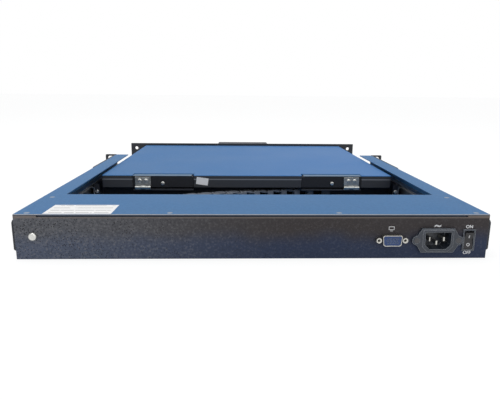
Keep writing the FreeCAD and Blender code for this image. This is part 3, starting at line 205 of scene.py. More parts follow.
white = (1.0, 1.0, 1.0, 1.0)
floor_glow_strength = 1.12
floor_white_share = 0.74
floor_half = 9.0
floor_finish = Finish("studio_floor", {"Roughness": 0.85, "Base Color": (0.86, 0.87, 0.88, 1.0)})
glow_sockets = {"Color": white, "Strength": floor_glow_strength}
floor_glow = floor_finish.node("ShaderNodeEmission", sockets=glow_sockets)
lit_floor = floor_finish.node("ShaderNodeMixShader", sockets={
    0: floor_white_share * floor_finish.seen_directly(),
    1: Wire(floor_finish.shader.outputs[0]),
    2: floor_glow})
floor_output = floor_finish.tree.nodes["Material Output"]
floor_finish.tree.links.new(lit_floor.socket, floor_output.inputs["Surface"])
floor_mesh = bpy.data.meshes.new("studio_floor")
floor_corners = [(sx * floor_half, sy * floor_half, packed_box[0].z) for sx, sy in
                 ((-1, -1), (1, -1), (1, 1), (-1, 1))]
floor_mesh.from_pydata(floor_corners, [], [(0, 1, 2, 3)])
floor_mesh.materials.append(floor_finish.material)
floor = bpy.data.objects.new("studio_floor", floor_mesh)
bpy.context.collection.objects.link(floor)

room_light = 0.62
surroundings = bpy.data.worlds.new("surroundings")
bpy.context.scene.world = surroundings
surroundings.use_nodes = True
sky = Nodes(surroundings.node_tree)
sky_strength = room_light + (1 - room_light) * sky.seen_directly()
background = sky.tree.nodes["Background"]
background.inputs["Color"].default_value = white
sky.tree.links.new(sky_strength.socket, background.inputs["Strength"])


def lamp(name, place, aim, size, power):
    """A square soft box that looks at a point."""
    light = bpy.data.lights.new(name, "AREA")
    light.size = size
    light.energy = power
    box = bpy.data.objects.new(name, light)
    box.location = place
    box.rotation_euler = (Vector(aim) - Vector(place)).to_track_quat("-Z", "Y").to_euler()
    bpy.context.collection.objects.link(box)


lamp_aim = (0.0, 0.15, 0.0)
lamp("softbox_above", (0.35, 0.1, 1.5), lamp_aim, 1.3, 9.0)
lamp("softbox_behind", (-0.7, 1.9, 0.9), lamp_aim, 0.9, 5.0)

bpy.context.scene.view_settings.view_transform = "Standard"


# Camera. Behind the drawer and a little above it, as the photographer stood. Its place, turn and focal
# length were fitted to the ears' slots, to the height of the body and to its straight edges.


camera_place = Vector((0.0209, 0.8526, 0.1372))
camera_yaw = math.radians(2.05)
camera_dip = math.radians(12.96)
camera_roll = math.radians(0.53)
picture_width = 500
focal_length = 489.9
level_ahead = Vector((-math.sin(camera_yaw), -math.cos(camera_yaw), 0))
level_right = Vector((-math.cos(camera_yaw), math.sin(camera_yaw), 0))
overhead = Vector((0, 0, 1))
sight = math.cos(camera_dip) * level_ahead - math.sin(camera_dip) * overhead
level_crown = math.sin(camera_dip) * level_ahead + math.cos(camera_dip) * overhead
camera_right = math.cos(camera_roll) * level_right + math.sin(camera_roll) * level_crown
camera_crown = -math.sin(camera_roll) * level_right + math.cos(camera_roll) * level_crown
lens = bpy.data.cameras.new("camera")
lens.sensor_fit = "HORIZONTAL"
lens.lens = focal_length / picture_width * lens.sensor_width
lens.clip_start = 0.01
camera = bpy.data.objects.new("camera", lens)
camera_turn = Matrix((camera_right, camera_crown, -sight)).transposed().to_4x4()
camera.matrix_world = Matrix.Translation(camera_place) @ camera_turn
bpy.context.collection.objects.link(camera)
bpy.context.scene.camera = camera


# Chassis tray and rear cover. Folded steel sheet with a satin steel-blue powder coat, which has a fine
# orange peel, some dust, and is lighter along its folds, partly from wear and partly as a painted highlight.
# The cover's rear edge carries a pale painted highlight, and the lip that is folded down there is painted
# near-black as painted shade in the seam.


mm = 0.001


def dress(finish, *nodes):
    """Gives a finish to solids of the frame."""
    for name in nodes:
        mesh = frame["nodes"][name].data
        if not mesh.materials:
            mesh.materials.append(finish.material)
        for k in range(len(mesh.materials)):
            mesh.materials[k] = finish.material


def steel_blue(name, deep, pale):
    """The blue coat, with the wires that lead to its colour, roughness, peel and soft normal."""
    coat = Finish(name, {"Specular IOR Level": 0.17})
    cloud = coat.noise(110 * mm, 3.0)
    mottle = coat.step(coat.noise(2.8 * mm, 3.0), 0.25, 0.75)
    peel = coat.noise(1.1 * mm, 1.0)
    dust = coat.step(coat.noise(3.5 * mm, 4.0), 0.66, 0.74)
    soft, edge = coat.edges(0.7 * mm)
    colour = coat.mixed(0.5 * cloud + 0.5 * mottle, deep, pale)
    colour = coat.mixed(0.16 * dust, colour, (0.35, 0.40, 0.46))
    # Lighter along folds and edges: partly wear, and partly a painted highlight.
    colour = coat.mixed(0.55 * edge, colour, (0.24, 0.29, 0.38))
    rough = 0.40 + 0.14 * cloud + 0.08 * peel + 0.12 * dust
    return coat, colour, rough, peel, soft


peel_strength = 0.25
peel_depth = 0.1 * mm
cut_edge = 0.6 * mm
lip_depth = 4.0 * mm
cover_low, cover_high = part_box("rear_cover")
blue_coat, blue_colour, blue_rough, blue_peel, blue_soft = steel_blue(
    "steel_blue_paint", (0.024, 0.122, 0.285), (0.044, 0.168, 0.378))
at_rear = blue_coat.place("Y") > cover_high.y - cut_edge
coat_height = blue_coat.place("Z")
# A pale painted highlight along the cover's rear edge, where its fold catches the light.
painted_rear_highlight = at_rear * (coat_height > cover_high.z - cut_edge)
# The lip folded down below it is painted near-black, as painted shade in the seam.
painted_seam_shade = at_rear * (coat_height < cover_high.z - cut_edge) * (coat_height > cover_high.z - lip_depth)
blue_colour = blue_coat.mixed(0.85 * painted_rear_highlight, blue_colour, (0.42, 0.41, 0.40))
blue_colour = blue_coat.mixed(0.9 * painted_seam_shade, blue_colour, (0.016, 0.018, 0.026))
blue_coat.feed(blue_colour, blue_rough, blue_peel, peel_strength, peel_depth, blue_soft)
dress(blue_coat, "chassis_tray", "rear_cover")


# Rear panel. Steel sheet with a coarser dark coat: brown-grey above and navy below, darker towards the
# inlet's end, with pale grain and black specks. The brim along the cover's seam is paler and reddish.


seam_drop = 1.3 * mm
specks_per_metre = 520.0
darkest_x = -50 * mm
panel_low, panel_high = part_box("rear_panel")
panel_coat = Finish("speckled_dark_paint", {"Specular IOR Level": 0.25})
run = panel_coat.step(panel_coat.place("X"), panel_high.x, darkest_x)
drop = panel_coat.step(panel_coat.place("Z"), panel_high.z, panel_low.z)
patch = panel_coat.noise(50 * mm, 2.0)
grain = panel_coat.noise(0.6 * mm, 1.0)
spots = panel_coat.noise(2.1 * mm, 3.0)
pale_spots = panel_coat.step(spots, 0.50, 0.72) * (1 - 0.8 * run)
dark_spots = panel_coat.step(1 - spots, 0.50, 0.72) * (1 - 0.5 * run)
speck_size = 0.30 * panel_coat.noise(30 * mm, 1.0) + 0.12 * (1 - run)
specks = panel_coat.step(speck_size - panel_coat.cells(specks_per_metre, "Distance"), 0.0, 0.06)
brim = panel_coat.place("Z") > cover_low.z - seam_drop
panel_soft, panel_edge = panel_coat.edges(0.6 * mm)
upper = panel_coat.mixed(run, (0.094, 0.098, 0.112), (0.032, 0.026, 0.026))
lower = panel_coat.mixed(run, (0.080, 0.098, 0.148), (0.014, 0.025, 0.062))
panel_colour = panel_coat.mixed(panel_coat.step(drop + 0.5 * (patch - 0.5), 0.15, 0.85), upper, lower)
for share, tone in ((0.3 * panel_coat.step(grain, 0.45, 0.75), (0.085, 0.090, 0.105)),
                    (0.55 * pale_spots, (0.185, 0.185, 0.195)),
                    (0.45 * dark_spots, (0.016, 0.018, 0.024)),
                    (0.85 * specks, (0.008, 0.008, 0.010)),
                    (0.6 * brim, (0.20, 0.165, 0.145)),
                    (0.35 * panel_edge, (0.16, 0.17, 0.19))):
    panel_colour = panel_coat.mixed(share, panel_colour, tone)
panel_coat.feed(panel_colour, 0.50 + 0.2 * grain, grain + 0.7 * specks, 0.5, 0.15 * mm, panel_soft)
dress(panel_coat, "rear_panel")


# Rack ears and rear strips. Steel bent and cut to shape, with a fine textured dark coat that is rubbed
# paler on its edges. Screws hold them to the sides of the chassis.


dark_coat = Finish("fine_dark_paint", {"Specular IOR Level": 0.4})
dark_patch = dark_coat.noise(60 * mm, 2.0)
dark_grain = dark_coat.noise(0.7 * mm, 2.0)
dark_soft, dark_edge = dark_coat.edges(0.6 * mm)
dark_colour = dark_coat.mixed(dark_patch, (0.014, 0.016, 0.022), (0.024, 0.027, 0.036))
dark_colour = dark_coat.mixed(0.4 * dark_coat.step(dark_grain, 0.5, 0.8), dark_colour, (0.05, 0.055, 0.065))
dark_colour = dark_coat.mixed(0.4 * dark_edge, dark_colour, (0.14, 0.15, 0.17))
dark_coat.feed(dark_colour, 0.46 + 0.2 * dark_grain, dark_grain, 0.35, 0.1 * mm, dark_soft)
dress(dark_coat, "rack_ears", "rear_rails")


# Telescopic slides. Cold-rolled steel with a zinc plate, drawn lengthwise, so that fine lines run along
# the members. The outer ones lie on the chassis walls, and the inner ones are riveted to the drawer's sides.


crystals_per_metre = 240.0


def plated(name, colour, rough, size, stretch, crystals=0.0):
    """A plated metal with lines along one axis, and crystals in it where a share is given."""
    metal = Finish(name, {"Metallic": 1.0})
    lines = metal.noise(size, 3.0, stretch)
    cloud = metal.noise(12 * mm, 2.0)
    soft, edge = metal.edges(0.3 * mm)
    crystal = metal.cells(crystals_per_metre, "Color")
    tone = metal.node("ShaderNodeSeparateColor", sockets={0: crystal}, out="Red")
    dull = tuple(0.72 * c for c in colour)
    edge_tone = tuple(min(1.0, 1.25 * c) for c in colour)
    mixed = metal.mixed(cloud * (1 - crystals) + crystals * tone, dull, colour)
    mixed = metal.mixed(0.5 * edge, mixed, edge_tone)
    metal.feed(mixed, rough + 0.16 * lines + 0.10 * crystals * tone, lines, 0.12, 0.05 * mm, soft)
    return metal


even = (1.0, 1.0, 1.0)
slide_steel = plated("slide_steel", (0.50, 0.51, 0.52), 0.30, 0.9 * mm, (1.0, 0.03, 1.0))
dress(slide_steel, "slides_outer", "slides_inner", "slide_middle_right", "slide_middle_left")


# Screws of the chassis. Zinc-plated steel with a cross recess: flat ones, dull in the cover and blackened
# in the power inlet, and domed ones in the ears and the strips. Each stands where its plain solid is.


class Form:
    """A mesh in the making. Each part of it is a skin over a row of loops that have as many points."""

    def __init__(self):
        self.mesh = bmesh.new()

    def add(self, part, place=Matrix()):
        """Takes in a finished part, moved to its place."""
        part.transform(place)
        spare = bpy.data.meshes.new("part")
        part.to_mesh(spare)
        part.free()
        self.mesh.from_mesh(spare)
        bpy.data.meshes.remove(spare)

    def skin(self, loops, place=Matrix(), capped=True, rounding=0.0, steps=2):
        """A closed skin: its ends are capped, or else the last loop meets the first one."""
        part = bmesh.new()
        rows = [[part.verts.new(point) for point in loop] for loop in loops]
        pairs = list(zip(rows, rows[1:]))
        if capped:
            part.faces.new(rows[0][::-1])
            part.faces.new(rows[-1])
        else:
            pairs.append((rows[-1], rows[0]))
        for low, high in pairs:
            for k in range(len(low)):
                part.faces.new((low[k - 1], low[k], high[k], high[k - 1]))
        bmesh.ops.recalc_face_normals(part, faces=part.faces[:])
        if rounding:
            sharp = [edge for edge in part.edges if edge.calc_face_angle(0.0) > math.radians(30)]
            bmesh.ops.bevel(part, geom=sharp, offset=rounding, segments=steps, profile=0.5, affect="EDGES",
                            clamp_overlap=True)
        self.add(part, place)

    def turned(self, profile, place, sides=48):
        """A skin turned about Z to pairs of radius and height. A radius may be a rule over the angle."""
        loops = []
        for radius, height in profile:
            loop = []
            for k in range(sides):
                angle = 2 * math.pi * k / sides
                reach = radius(angle) if callable(radius) else radius
                loop.append((reach * math.cos(angle), reach * math.sin(angle), height))
            loops.append(loop)
        self.skin(loops, place)

    def slab(self, low, high, place=Matrix(), rounding=0.0, steps=2):
        """A block between two corners."""
        foot = [(low[0], low[1]), (high[0], low[1]), (high[0], high[1]), (low[0], high[1])]
        self.skin([[(x, y, z) for x, y in foot] for z in (low[2], high[2])], place, True, rounding, steps)

    def piece(self, name, finish, body, nodes=()):
        """Makes the object, on its body and in its slot, in place of solids of the frame."""
        mesh = bpy.data.meshes.new(name)
        self.mesh.to_mesh(mesh)
        self.mesh.free()
        mesh.polygons.foreach_set("use_smooth", [True] * len(mesh.polygons))
        mesh.set_sharp_from_angle(angle=math.radians(32))
        mesh.materials.append(finish.material)
        made = bpy.data.objects.new(name, mesh)
        bpy.context.collection.objects.link(made)
        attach(made, body)
        if nodes:
            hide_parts(*nodes)


def facing(point, out, spin=0.0):
    """The place of a part whose Z axis leaves a face at a point."""
    turn = Vector(out).to_track_quat("Z", "Y").to_matrix().to_4x4()
    return Matrix.Translation(point) @ turn @ Matrix.Rotation(spin, 4, "Z")


def solids_of(node):
    """The lowest and highest corner of each separate solid in a node, in an order that each run shares."""
    holder = frame["nodes"][node]
    loose = bmesh.new()
    loose.from_mesh(holder.data)
    bmesh.ops.remove_doubles(loose, verts=loose.verts[:], dist=0.001 * mm)
    loose.transform(holder.matrix_world)
    unseen = set(loose.verts)
    found = []
    while unseen:
        group = [unseen.pop()]
        for vert in group:
            for edge in vert.link_edges:
                far = edge.other_vert(vert)
                if far in unseen:
                    unseen.remove(far)
                    group.append(far)
        corners = [Vector([pick(v.co[k] for v in group) for k in range(3)]) for pick in (min, max)]
        found.append(corners)
    loose.free()
    return sorted(found, key=lambda corners: [round(c, 5) for c in corners[0]])


chance = random.Random(7)


def cross_recess(form, place, radius, height, reach, depth):
    """The flat top of a head, inside its rim, with a cross-shaped recess."""
    sides = 48
    part = bmesh.new()
    rim = []
    for k in range(sides):
        angle = 2 * math.pi * k / sides
        rim.append(part.verts.new((radius * math.cos(angle), radius * math.sin(angle), height)))
    half = 0.24 * reach
    crosses = []
    for share, level in ((1.0, height), (0.5, height - depth)):
        corners = []
        for quarter in range(4):
            turn = Matrix.Rotation(quarter * math.pi / 2, 3, "Z")
            for x, y in ((reach, -half), (reach, half), (half, half)):
                corner = turn @ Vector((x * share, y * share, level))
                corners.append(part.verts.new(corner))
        crosses.append(corners)
    mouth, bed = crosses
    span = sides // 24
    for quarter in range(4):
        start, end, inner = mouth[3 * quarter:3 * quarter + 3]
        after = mouth[(3 * quarter + 3) % 12]
        first = quarter * sides // 4
        tip = [rim[(first + k) % sides] for k in range(-span, span + 1)]
        side = [rim[(first + k) % sides] for k in range(span, sides // 4 - span + 1)]
        part.faces.new([start] + tip + [end])
        part.faces.new([end] + side + [after, inner])
    for k in range(12):
        following = (k + 1) % 12
        part.faces.new((mouth[k], mouth[following], bed[following], bed[k]))
    part.faces.new(bed)
    form.add(part, place)


def sunk_screw(form, point, out, radius):
    """A flat head whose top lies level with its seat."""
    place = facing(point, out, chance.uniform(0, math.pi))
    rim = 0.96 * radius
    form.turned([(0.45 * radius, -1.1 * radius), (0.45 * radius, -0.62 * radius),
                 (0.97 * radius, -0.10 * radius), (radius, -0.05 * radius)], place)
    form.turned([(radius, -0.06 * radius), (rim, -0.0001 * radius)], place)
    cross_recess(form, place, rim, 0.0, 0.55 * radius, 0.5 * radius)


def domed_screw(form, point, out, radius, height, shank):
    """A domed head on its seat, with a short shank behind it."""
    place = facing(point, out, chance.uniform(0, math.pi))
    form.turned([(0.5 * radius, -shank), (0.5 * radius, 0.0)], place)
    crown = 0.55 * radius
    steps = 6
    dome = [(0.94 * radius, 0.0), (radius, 0.12 * height)]
    for k in range(1, steps):
        swing = k / steps * math.pi / 2
        dome.append((crown + (radius - crown) * math.cos(swing), height * (0.12 + 0.88 * math.sin(swing))))
    form.turned(dome, place)
    form.turned([dome[-1], (crown, height - 0.0001 * mm)], place)
    cross_recess(form, place, crown, height, 0.42 * radius, 0.55 * height)


screw_zinc = plated("screw_zinc", (0.74, 0.74, 0.71), 0.22, 0.6 * mm, even, 0.3)
dull_zinc = plated("dull_screw_zinc", (0.27, 0.33, 0.42), 0.36, 0.6 * mm, even, 0.4)
black_zinc = plated("blackened_zinc", (0.10, 0.10, 0.105), 0.34, 0.9 * mm, even, 0.3)
chassis_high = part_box("chassis_tray")[1]
head_radius = 2.9 * mm
head_height = 1.4 * mm
shank_reach = 1.5 * mm
side_zone = 4 * mm
top_zone = 5 * mm
domed_heads = Form()
cover_heads = Form()
inlet_heads = Form()
for low, high in solids_of("chassis_screws"):
    centre = (low + high) / 2
    if abs(centre.x) > chassis_high.x - side_zone:
        side = math.copysign(1, centre.x)
        seat = max(abs(low.x), abs(high.x)) - head_height
        domed_screw(domed_heads, Vector((side * seat, centre.y, centre.z)), (side, 0, 0), head_radius,
                    head_height, seat - chassis_high.x + shank_reach)
    elif centre.z > chassis_high.z - top_zone:
        sunk_screw(cover_heads, Vector((centre.x, centre.y, high.z)), (0, 0, 1), (high.x - low.x) / 2)
    else:
        sunk_screw(inlet_heads, Vector((centre.x, high.y, centre.z)), (0, 1, 0), (high.x - low.x) / 2)
domed_heads.piece("chassis_screw_heads", screw_zinc, "chassis", ["chassis_screws"])
cover_heads.piece("flush_screw_heads", dull_zinc, "chassis", ["chassis_screws"])
inlet_heads.piece("inlet_screw_heads", black_zinc, "chassis", ["chassis_screws"])


# Earthing screw. A domed zinc-plated head on a washer with pressed teeth, which bites through the paint
# at the end of the rear panel.


washer_thickness = 0.8 * mm
washer_teeth = 18
washer_sides = 8 * washer_teeth
ground_radius = 4.2 * mm
ground_shank = 3 * mm
ground_low, ground_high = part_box("ground_screw")
ground_middle = (ground_low + ground_high) / 2
ground_seat = Vector((ground_middle.x, chassis_high.y, ground_middle.z))
washer_radius = (ground_high.x - ground_low.x) / 2


def toothed(angle):
    """The washer's rim, in and out between its teeth."""
    return washer_radius * (0.90 + 0.10 * math.cos(washer_teeth * angle))


ground_head = Form()
washer_profile = [(toothed, 0.0), (toothed, 0.55 * washer_thickness),
                  (0.80 * washer_radius, washer_thickness)]
ground_head.turned(washer_profile, facing(ground_seat, (0, 1, 0)), washer_sides)
dome_seat = ground_seat + Vector((0, washer_thickness, 0))
domed_screw(ground_head, dome_seat, (0, 1, 0), ground_radius, ground_high.y - dome_seat.y, ground_shank)
ground_head.piece("earthing_screw", screw_zinc, "chassis", ["ground_screw"])


# Video socket. A nickel-plated steel shell round a blue moulded insulator with fifteen contacts. Two
# hexagonal posts with chamfered corners hold it; they are tapped for a plug's screws, and the threads show
# as rings in the bore.


def moulded(name, deep, pale, rough, size, edge_tone, plain=None, rounding=0.3 * mm):
    """A plastic with a spark-eroded grain, and edges rubbed smooth in a tone of their own, which on the
    connector plastic is a painted highlight.
    """
    plastic = Finish(name, plain)
    grain = plastic.noise(size, 2.0)
    cloud = plastic.noise(20 * mm, 2.0)
    soft, edge = plastic.edges(rounding)
    mixed = plastic.mixed(cloud, deep, pale)
    mixed = plastic.mixed(0.5 * edge, mixed, edge_tone)
    plastic.feed(mixed, rough + 0.15 * grain - 0.08 * edge, grain, 0.3, 0.06 * mm, soft)
    return plastic


def hexed(across):
    """The radius of a hexagon with a distance across its flats, over the angle."""
    def radius(angle):
        return across / 2 / math.cos((angle + math.pi / 6) % (math.pi / 3) - math.pi / 6)
    return radius


nickel = plated("nickel_plate", (0.62, 0.61, 0.57), 0.20, 0.6 * mm, even)
insulator = moulded("blue_insulator", (0.011, 0.036, 0.125), (0.020, 0.056, 0.185), 0.34, 0.4 * mm,
                    (0.70, 0.82, 0.98), None, 0.5 * mm)
dress(nickel, "video_shell")
dress(insulator, "video_insulator")
post_sides = 48
post_bore = 1.42 * mm
post_thread = 0.5 * mm
post_floor = 0.6 * mm
post_chamfer = 0.55 * mm
foot_chamfer = 0.25 * mm
thread_start = 0.2 * mm
thread_end = 1.2 * mm
posts = Form()
for low, high in solids_of("video_jackscrews"):
    centre = (low + high) / 2
    across_flats = min(high.x - low.x, high.z - low.z)
    length = high.y - chassis_high.y
    flats = hexed(across_flats)
    crown = 0.52 * across_flats
    rings = [(lambda a: 0.8 * post_bore, post_floor), (lambda a: min(flats(a), crown * 1.02), 0.0),
             (flats, foot_chamfer), (flats, length - post_chamfer), (lambda a: min(flats(a), crown), length),
             (lambda a: post_bore * 1.12, length)]
    depth = length - thread_start
    while depth > thread_end:
        rings.append((lambda a: post_bore, depth))
        rings.append((lambda a: 0.84 * post_bore, depth - post_thread / 2))
        depth -= post_thread
    turns = [2 * math.pi * k / post_sides for k in range(post_sides)]
    loops = [[(radius(t) * math.cos(t), radius(t) * math.sin(t), height) for t in turns]
             for radius, height in rings]
    posts.skin(loops, facing(Vector((centre.x, chassis_high.y, centre.z)), (0, 1, 0)), capped=False)
posts.piece("video_jackscrew_posts", nickel, "chassis", ["video_jackscrews"])


# Power inlet and power switch. Black glossy mouldings in the rear panel: the inlet has three nickel-plated
# pins and is held by its two screws, and the switch snaps into its hole and carries the rocker.


# Its pale edges are a painted highlight round the rims of the inlet and the switch frame.
connector_plastic = moulded("connector_plastic", (0.012, 0.018, 0.030), (0.024, 0.032, 0.048), 0.26, 0.4 * mm,
                            (0.56, 0.60, 0.66), {"Coat Weight": 0.25}, 0.7 * mm)
black_plastic = moulded("black_plastic", (0.010, 0.010, 0.012), (0.018, 0.018, 0.021), 0.42, 0.6 * mm,
                        (0.05, 0.05, 0.055))
dress(connector_plastic, "inlet_body", "switch_frame")
dress(nickel, "inlet_pins")
dress(black_plastic, "rocker")


# Marks on the rear panel and the rocker. White ink laid on by screen printing: words beside the switch, a
# small screen over the video socket and a wave over the power inlet. I and O stand on the rocker.


ink = Finish("white_ink", {"Specular IOR Level": 0.3})
ink_wear = ink.noise(1.2 * mm, 3.0)
ink_colour = ink.mixed(ink.step(ink_wear, 0.3, 0.7), (0.62, 0.63, 0.65), (0.78, 0.79, 0.80))
ink.feed(ink_colour, 0.5 + 0.2 * ink_wear, ink_wear, 0.1, 0.02 * mm)


def letters(words, size):
    """The flat outlines of some letters, about the origin."""
    curve = bpy.data.curves.new("letters", "FONT")
    curve.body = words
    curve.size = size
    curve.align_x = "CENTER"
    curve.align_y = "CENTER"
    curve.resolution_u = 4
    curve.offset = 0.028 * size
    holder = bpy.data.objects.new("letters", curve)
    flat = bpy.data.meshes.new_from_object(holder)
    shape = bmesh.new()
    shape.from_mesh(flat)
    bpy.data.objects.remove(holder)
    bpy.data.meshes.remove(flat)
    bpy.data.curves.remove(curve)
    return shape


def oblong(shape, low, high):
    """Adds a flat oblong between two corners."""
    corners = ((low[0], low[1]), (high[0], low[1]), (high[0], high[1]), (low[0], high[1]))
    shape.faces.new([shape.verts.new((x, y, 0)) for x, y in corners])


def skin_of(node):
    """A tree for finding the surface of a node."""
    solid = bmesh.new()
    solid.from_mesh(frame["nodes"][node].data)
    solid.transform(frame["nodes"][node].matrix_world)
    tree = BVHTree.FromBMesh(solid)
    solid.free()
    return tree


def lay(form, shape, place, tree):
    """Presses a flat shape onto a surface, along the Z axis of its place, and keeps it just proud."""
    ink_height = 0.03 * mm
    search = 20 * mm
    shape.transform(place)
    out = (place.to_3x3() @ Vector((0, 0, 1))).normalized()
    for vert in shape.verts:
        hit = tree.ray_cast(vert.co + search * out, -out)[0]
        vert.co = (hit if hit else vert.co) + ink_height * out
    form.add(shape)


def from_behind(x, z):
    """A place on the rear panel, upright to someone behind it."""
    turn = Matrix(((-1, 0, 0), (0, 0, 1), (0, 1, 0))).to_4x4()
    return Matrix.Translation((x, chassis_high.y, z)) @ turn


word_size = 4.4 * mm
word_gap = 2.2 * mm
wave_size = 11.0 * mm
screen_half_width = 2.7 * mm
screen_half_height = 1.7 * mm
screen_line = 0.5 * mm
foot_half = 1.4 * mm
foot_gap = 0.7 * mm
screen_gap = 4.6 * mm
panel_skin = skin_of("rear_panel")
switch_low, switch_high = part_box("switch_frame")
switch_middle = (switch_low + switch_high) / 2
inlet_low, inlet_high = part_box("inlet_body")
inlet_middle = (inlet_low + inlet_high) / 2
video_low, video_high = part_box("video_shell")
video_middle = (video_low + video_high) / 2
prints = Form()
lay(prints, letters("ON", word_size), from_behind(switch_middle.x, switch_high.z + word_gap), panel_skin)
lay(prints, letters("OFF", word_size), from_behind(switch_middle.x, switch_low.z - word_gap), panel_skin)
lay(prints, letters("~", wave_size), from_behind(inlet_middle.x, inlet_high.z + word_gap), panel_skin)
screen_sign = bmesh.new()
screen_inner = screen_half_height - screen_line
for sign in (-1, 1):
    rail = sorted((sign * screen_inner, sign * screen_half_height))
    post = sorted((sign * (screen_half_width - screen_line), sign * screen_half_width))
    oblong(screen_sign, (-screen_half_width, rail[0]), (screen_half_width, rail[1]))
    oblong(screen_sign, (post[0], -screen_inner), (post[1], screen_inner))
foot_top = -screen_half_height - foot_gap
oblong(screen_sign, (-foot_half, foot_top - screen_line), (foot_half, foot_top))
lay(prints, screen_sign, from_behind(video_middle.x, video_high.z + screen_gap), panel_skin)
prints.piece("rear_panel_marks", ink, "chassis")

bar_half_width = 0.35 * mm
bar_half_height = 1.5 * mm
hoop_inner = 1.0 * mm
hoop_outer = 1.6 * mm
hoop_sides = 32
rocker_low, rocker_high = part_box("rocker")
rocker_middle = (rocker_low + rocker_high) / 2
mark_rise = (rocker_high.z - rocker_low.z) / 4
rocker_skin = skin_of("rocker")
rocker_marks = Form()
bar = bmesh.new()
oblong(bar, (-bar_half_width, -bar_half_height), (bar_half_width, bar_half_height))
lay(rocker_marks, bar, from_behind(rocker_middle.x, rocker_middle.z + mark_rise), rocker_skin)
hoop = bmesh.new()
hoop_turns = [2 * math.pi * k / hoop_sides for k in range(hoop_sides)]
inner_rim, outer_rim = [[hoop.verts.new((r * math.cos(t), r * math.sin(t), 0)) for t in hoop_turns]
                        for r in (hoop_inner, hoop_outer)]
for k in range(hoop_sides):
    hoop.faces.new((inner_rim[k - 1], outer_rim[k - 1], outer_rim[k], inner_rim[k]))
lay(rocker_marks, hoop, from_behind(rocker_middle.x, rocker_middle.z - mark_rise), rocker_skin)
rocker_marks.piece("rocker_marks", ink, "rocker")


# Cover label. A matt white paper label with plain grey rules, stuck on the cover beside the earthing
# screw. Its print is broken up as faded print is.


def paper(name, printed=None):
    """Matt paper, with grey print where a rule for it is given."""
    sheet = Finish(name, {"Specular IOR Level": 0.2})
    fibre = sheet.noise(0.8 * mm, 3.0)
    colour = sheet.mixed(fibre, (0.86, 0.86, 0.86), (0.94, 0.94, 0.94))
    if printed:
        colour = sheet.mixed(0.75 * printed(sheet), colour, (0.16, 0.17, 0.19))
    sheet.feed(colour, 0.6 + 0.2 * fibre, fibre, 0.1, 0.03 * mm)
    return sheet


def label_rules(sheet):
    """1 on the grey rules, which stay clear of the label's ends and are broken up."""
    rules = (sheet.place("Y") * (1 / rule_pitch)).folded(1.0) < rule_share
    across = sheet.place("X")
    inside = (across > label_low.x + label_margin) * (across < label_high.x - label_margin)
    return rules * inside * sheet.step(sheet.noise(4 * mm, 1.0, (1.0, 0.4, 1.0)), 0.36, 0.44)


paper_thickness = 0.08 * mm
paper_edge = 0.03 * mm
label_margin = 3 * mm
rule_pitch = 4.6 * mm
rule_share = 0.16
label_low = Vector((134.0 * mm, 374.0 * mm, cover_high.z))
label_high = Vector((197.0 * mm, 409.0 * mm, cover_high.z + paper_thickness))
label = Form()
label.slab(label_low, label_high, rounding=paper_edge, steps=1)
label.piece("cover_label", paper("ruled_paper", label_rules), "chassis")


# Drawer. The tray, the front panel, the handle and the hinge brackets are folded sheet with the ears' dark
# coat. Domed screws with a cross recess hold the arms' rear tabs and, with low heads, the brackets. The
# release bar in the handle is moulded.


low_head = 1.0 * mm
drawer_shank = 1.2 * mm
bracket_limit = 150 * mm


def rear_screws(node, body):
    """The domed screws of a node that look to the rear. Those of the brackets have low heads."""
    heads = Form()
    for low, high in solids_of(node):
        height = low_head if high.y < bracket_limit else head_height
        seat = Vector(((low.x + high.x) / 2, high.y - height, (low.z + high.z) / 2))
        domed_screw(heads, seat, (0, 1, 0), (high.x - low.x) / 2, height, drawer_shank)
    heads.piece(node + "_heads", screw_zinc, body, [node])


dress(dark_coat, "front_panel", "handle", "drawer_tray", "hinge_brackets")
dress(black_plastic, "release_bar")
rear_screws("drawer_screws", "drawer")


# Keyboard and touchpad. Black mouldings in the drawer's front half. The keycaps have tapered sides and
# dished tops, each row on its own body, with white lettering printed on the dish.


def round_cornered(half_x, half_y, radius):
    """The points of an oblong with rounded corners, about the origin."""
    steps = 3
    points = []
    for quarter, (sx, sy) in enumerate(((1, 1), (-1, 1), (-1, -1), (1, -1))):
        for k in range(steps + 1):
            angle = (quarter + k / steps) * math.pi / 2
            points.append((sx * (half_x - radius) + radius * math.cos(angle),
                           sy * (half_y - radius) + radius * math.sin(angle)))
    return points


key_plastic = moulded("key_plastic", (0.014, 0.014, 0.016), (0.022, 0.022, 0.025), 0.48, 0.5 * mm,
                      (0.05, 0.05, 0.055))
dress(black_plastic, "keyboard_base", "keyboard_bezel", "touchpad", "touch_button_left", "touch_button_right")
legends = (
    ["Esc"] + ["F%d" % k for k in range(1, 13)] + ["", ""],
    list("`1234567890-=") + ["<"],
    ["Tab"] + list("QWERTYUIOP[]") + ["\\"],
    ["Caps"] + list("ASDFGHJKL;'") + ["Enter"],
    ["Shift"] + list("ZXCVBNM,./") + ["Shift"],
    ["Ctrl", "", "Alt", "", "Alt", "", "", "Ctrl"],
)
letter_size = 4.6 * mm
key_word_size = 2.9 * mm
cap_taper = 1.9 * mm
cap_lean = 0.5 * mm
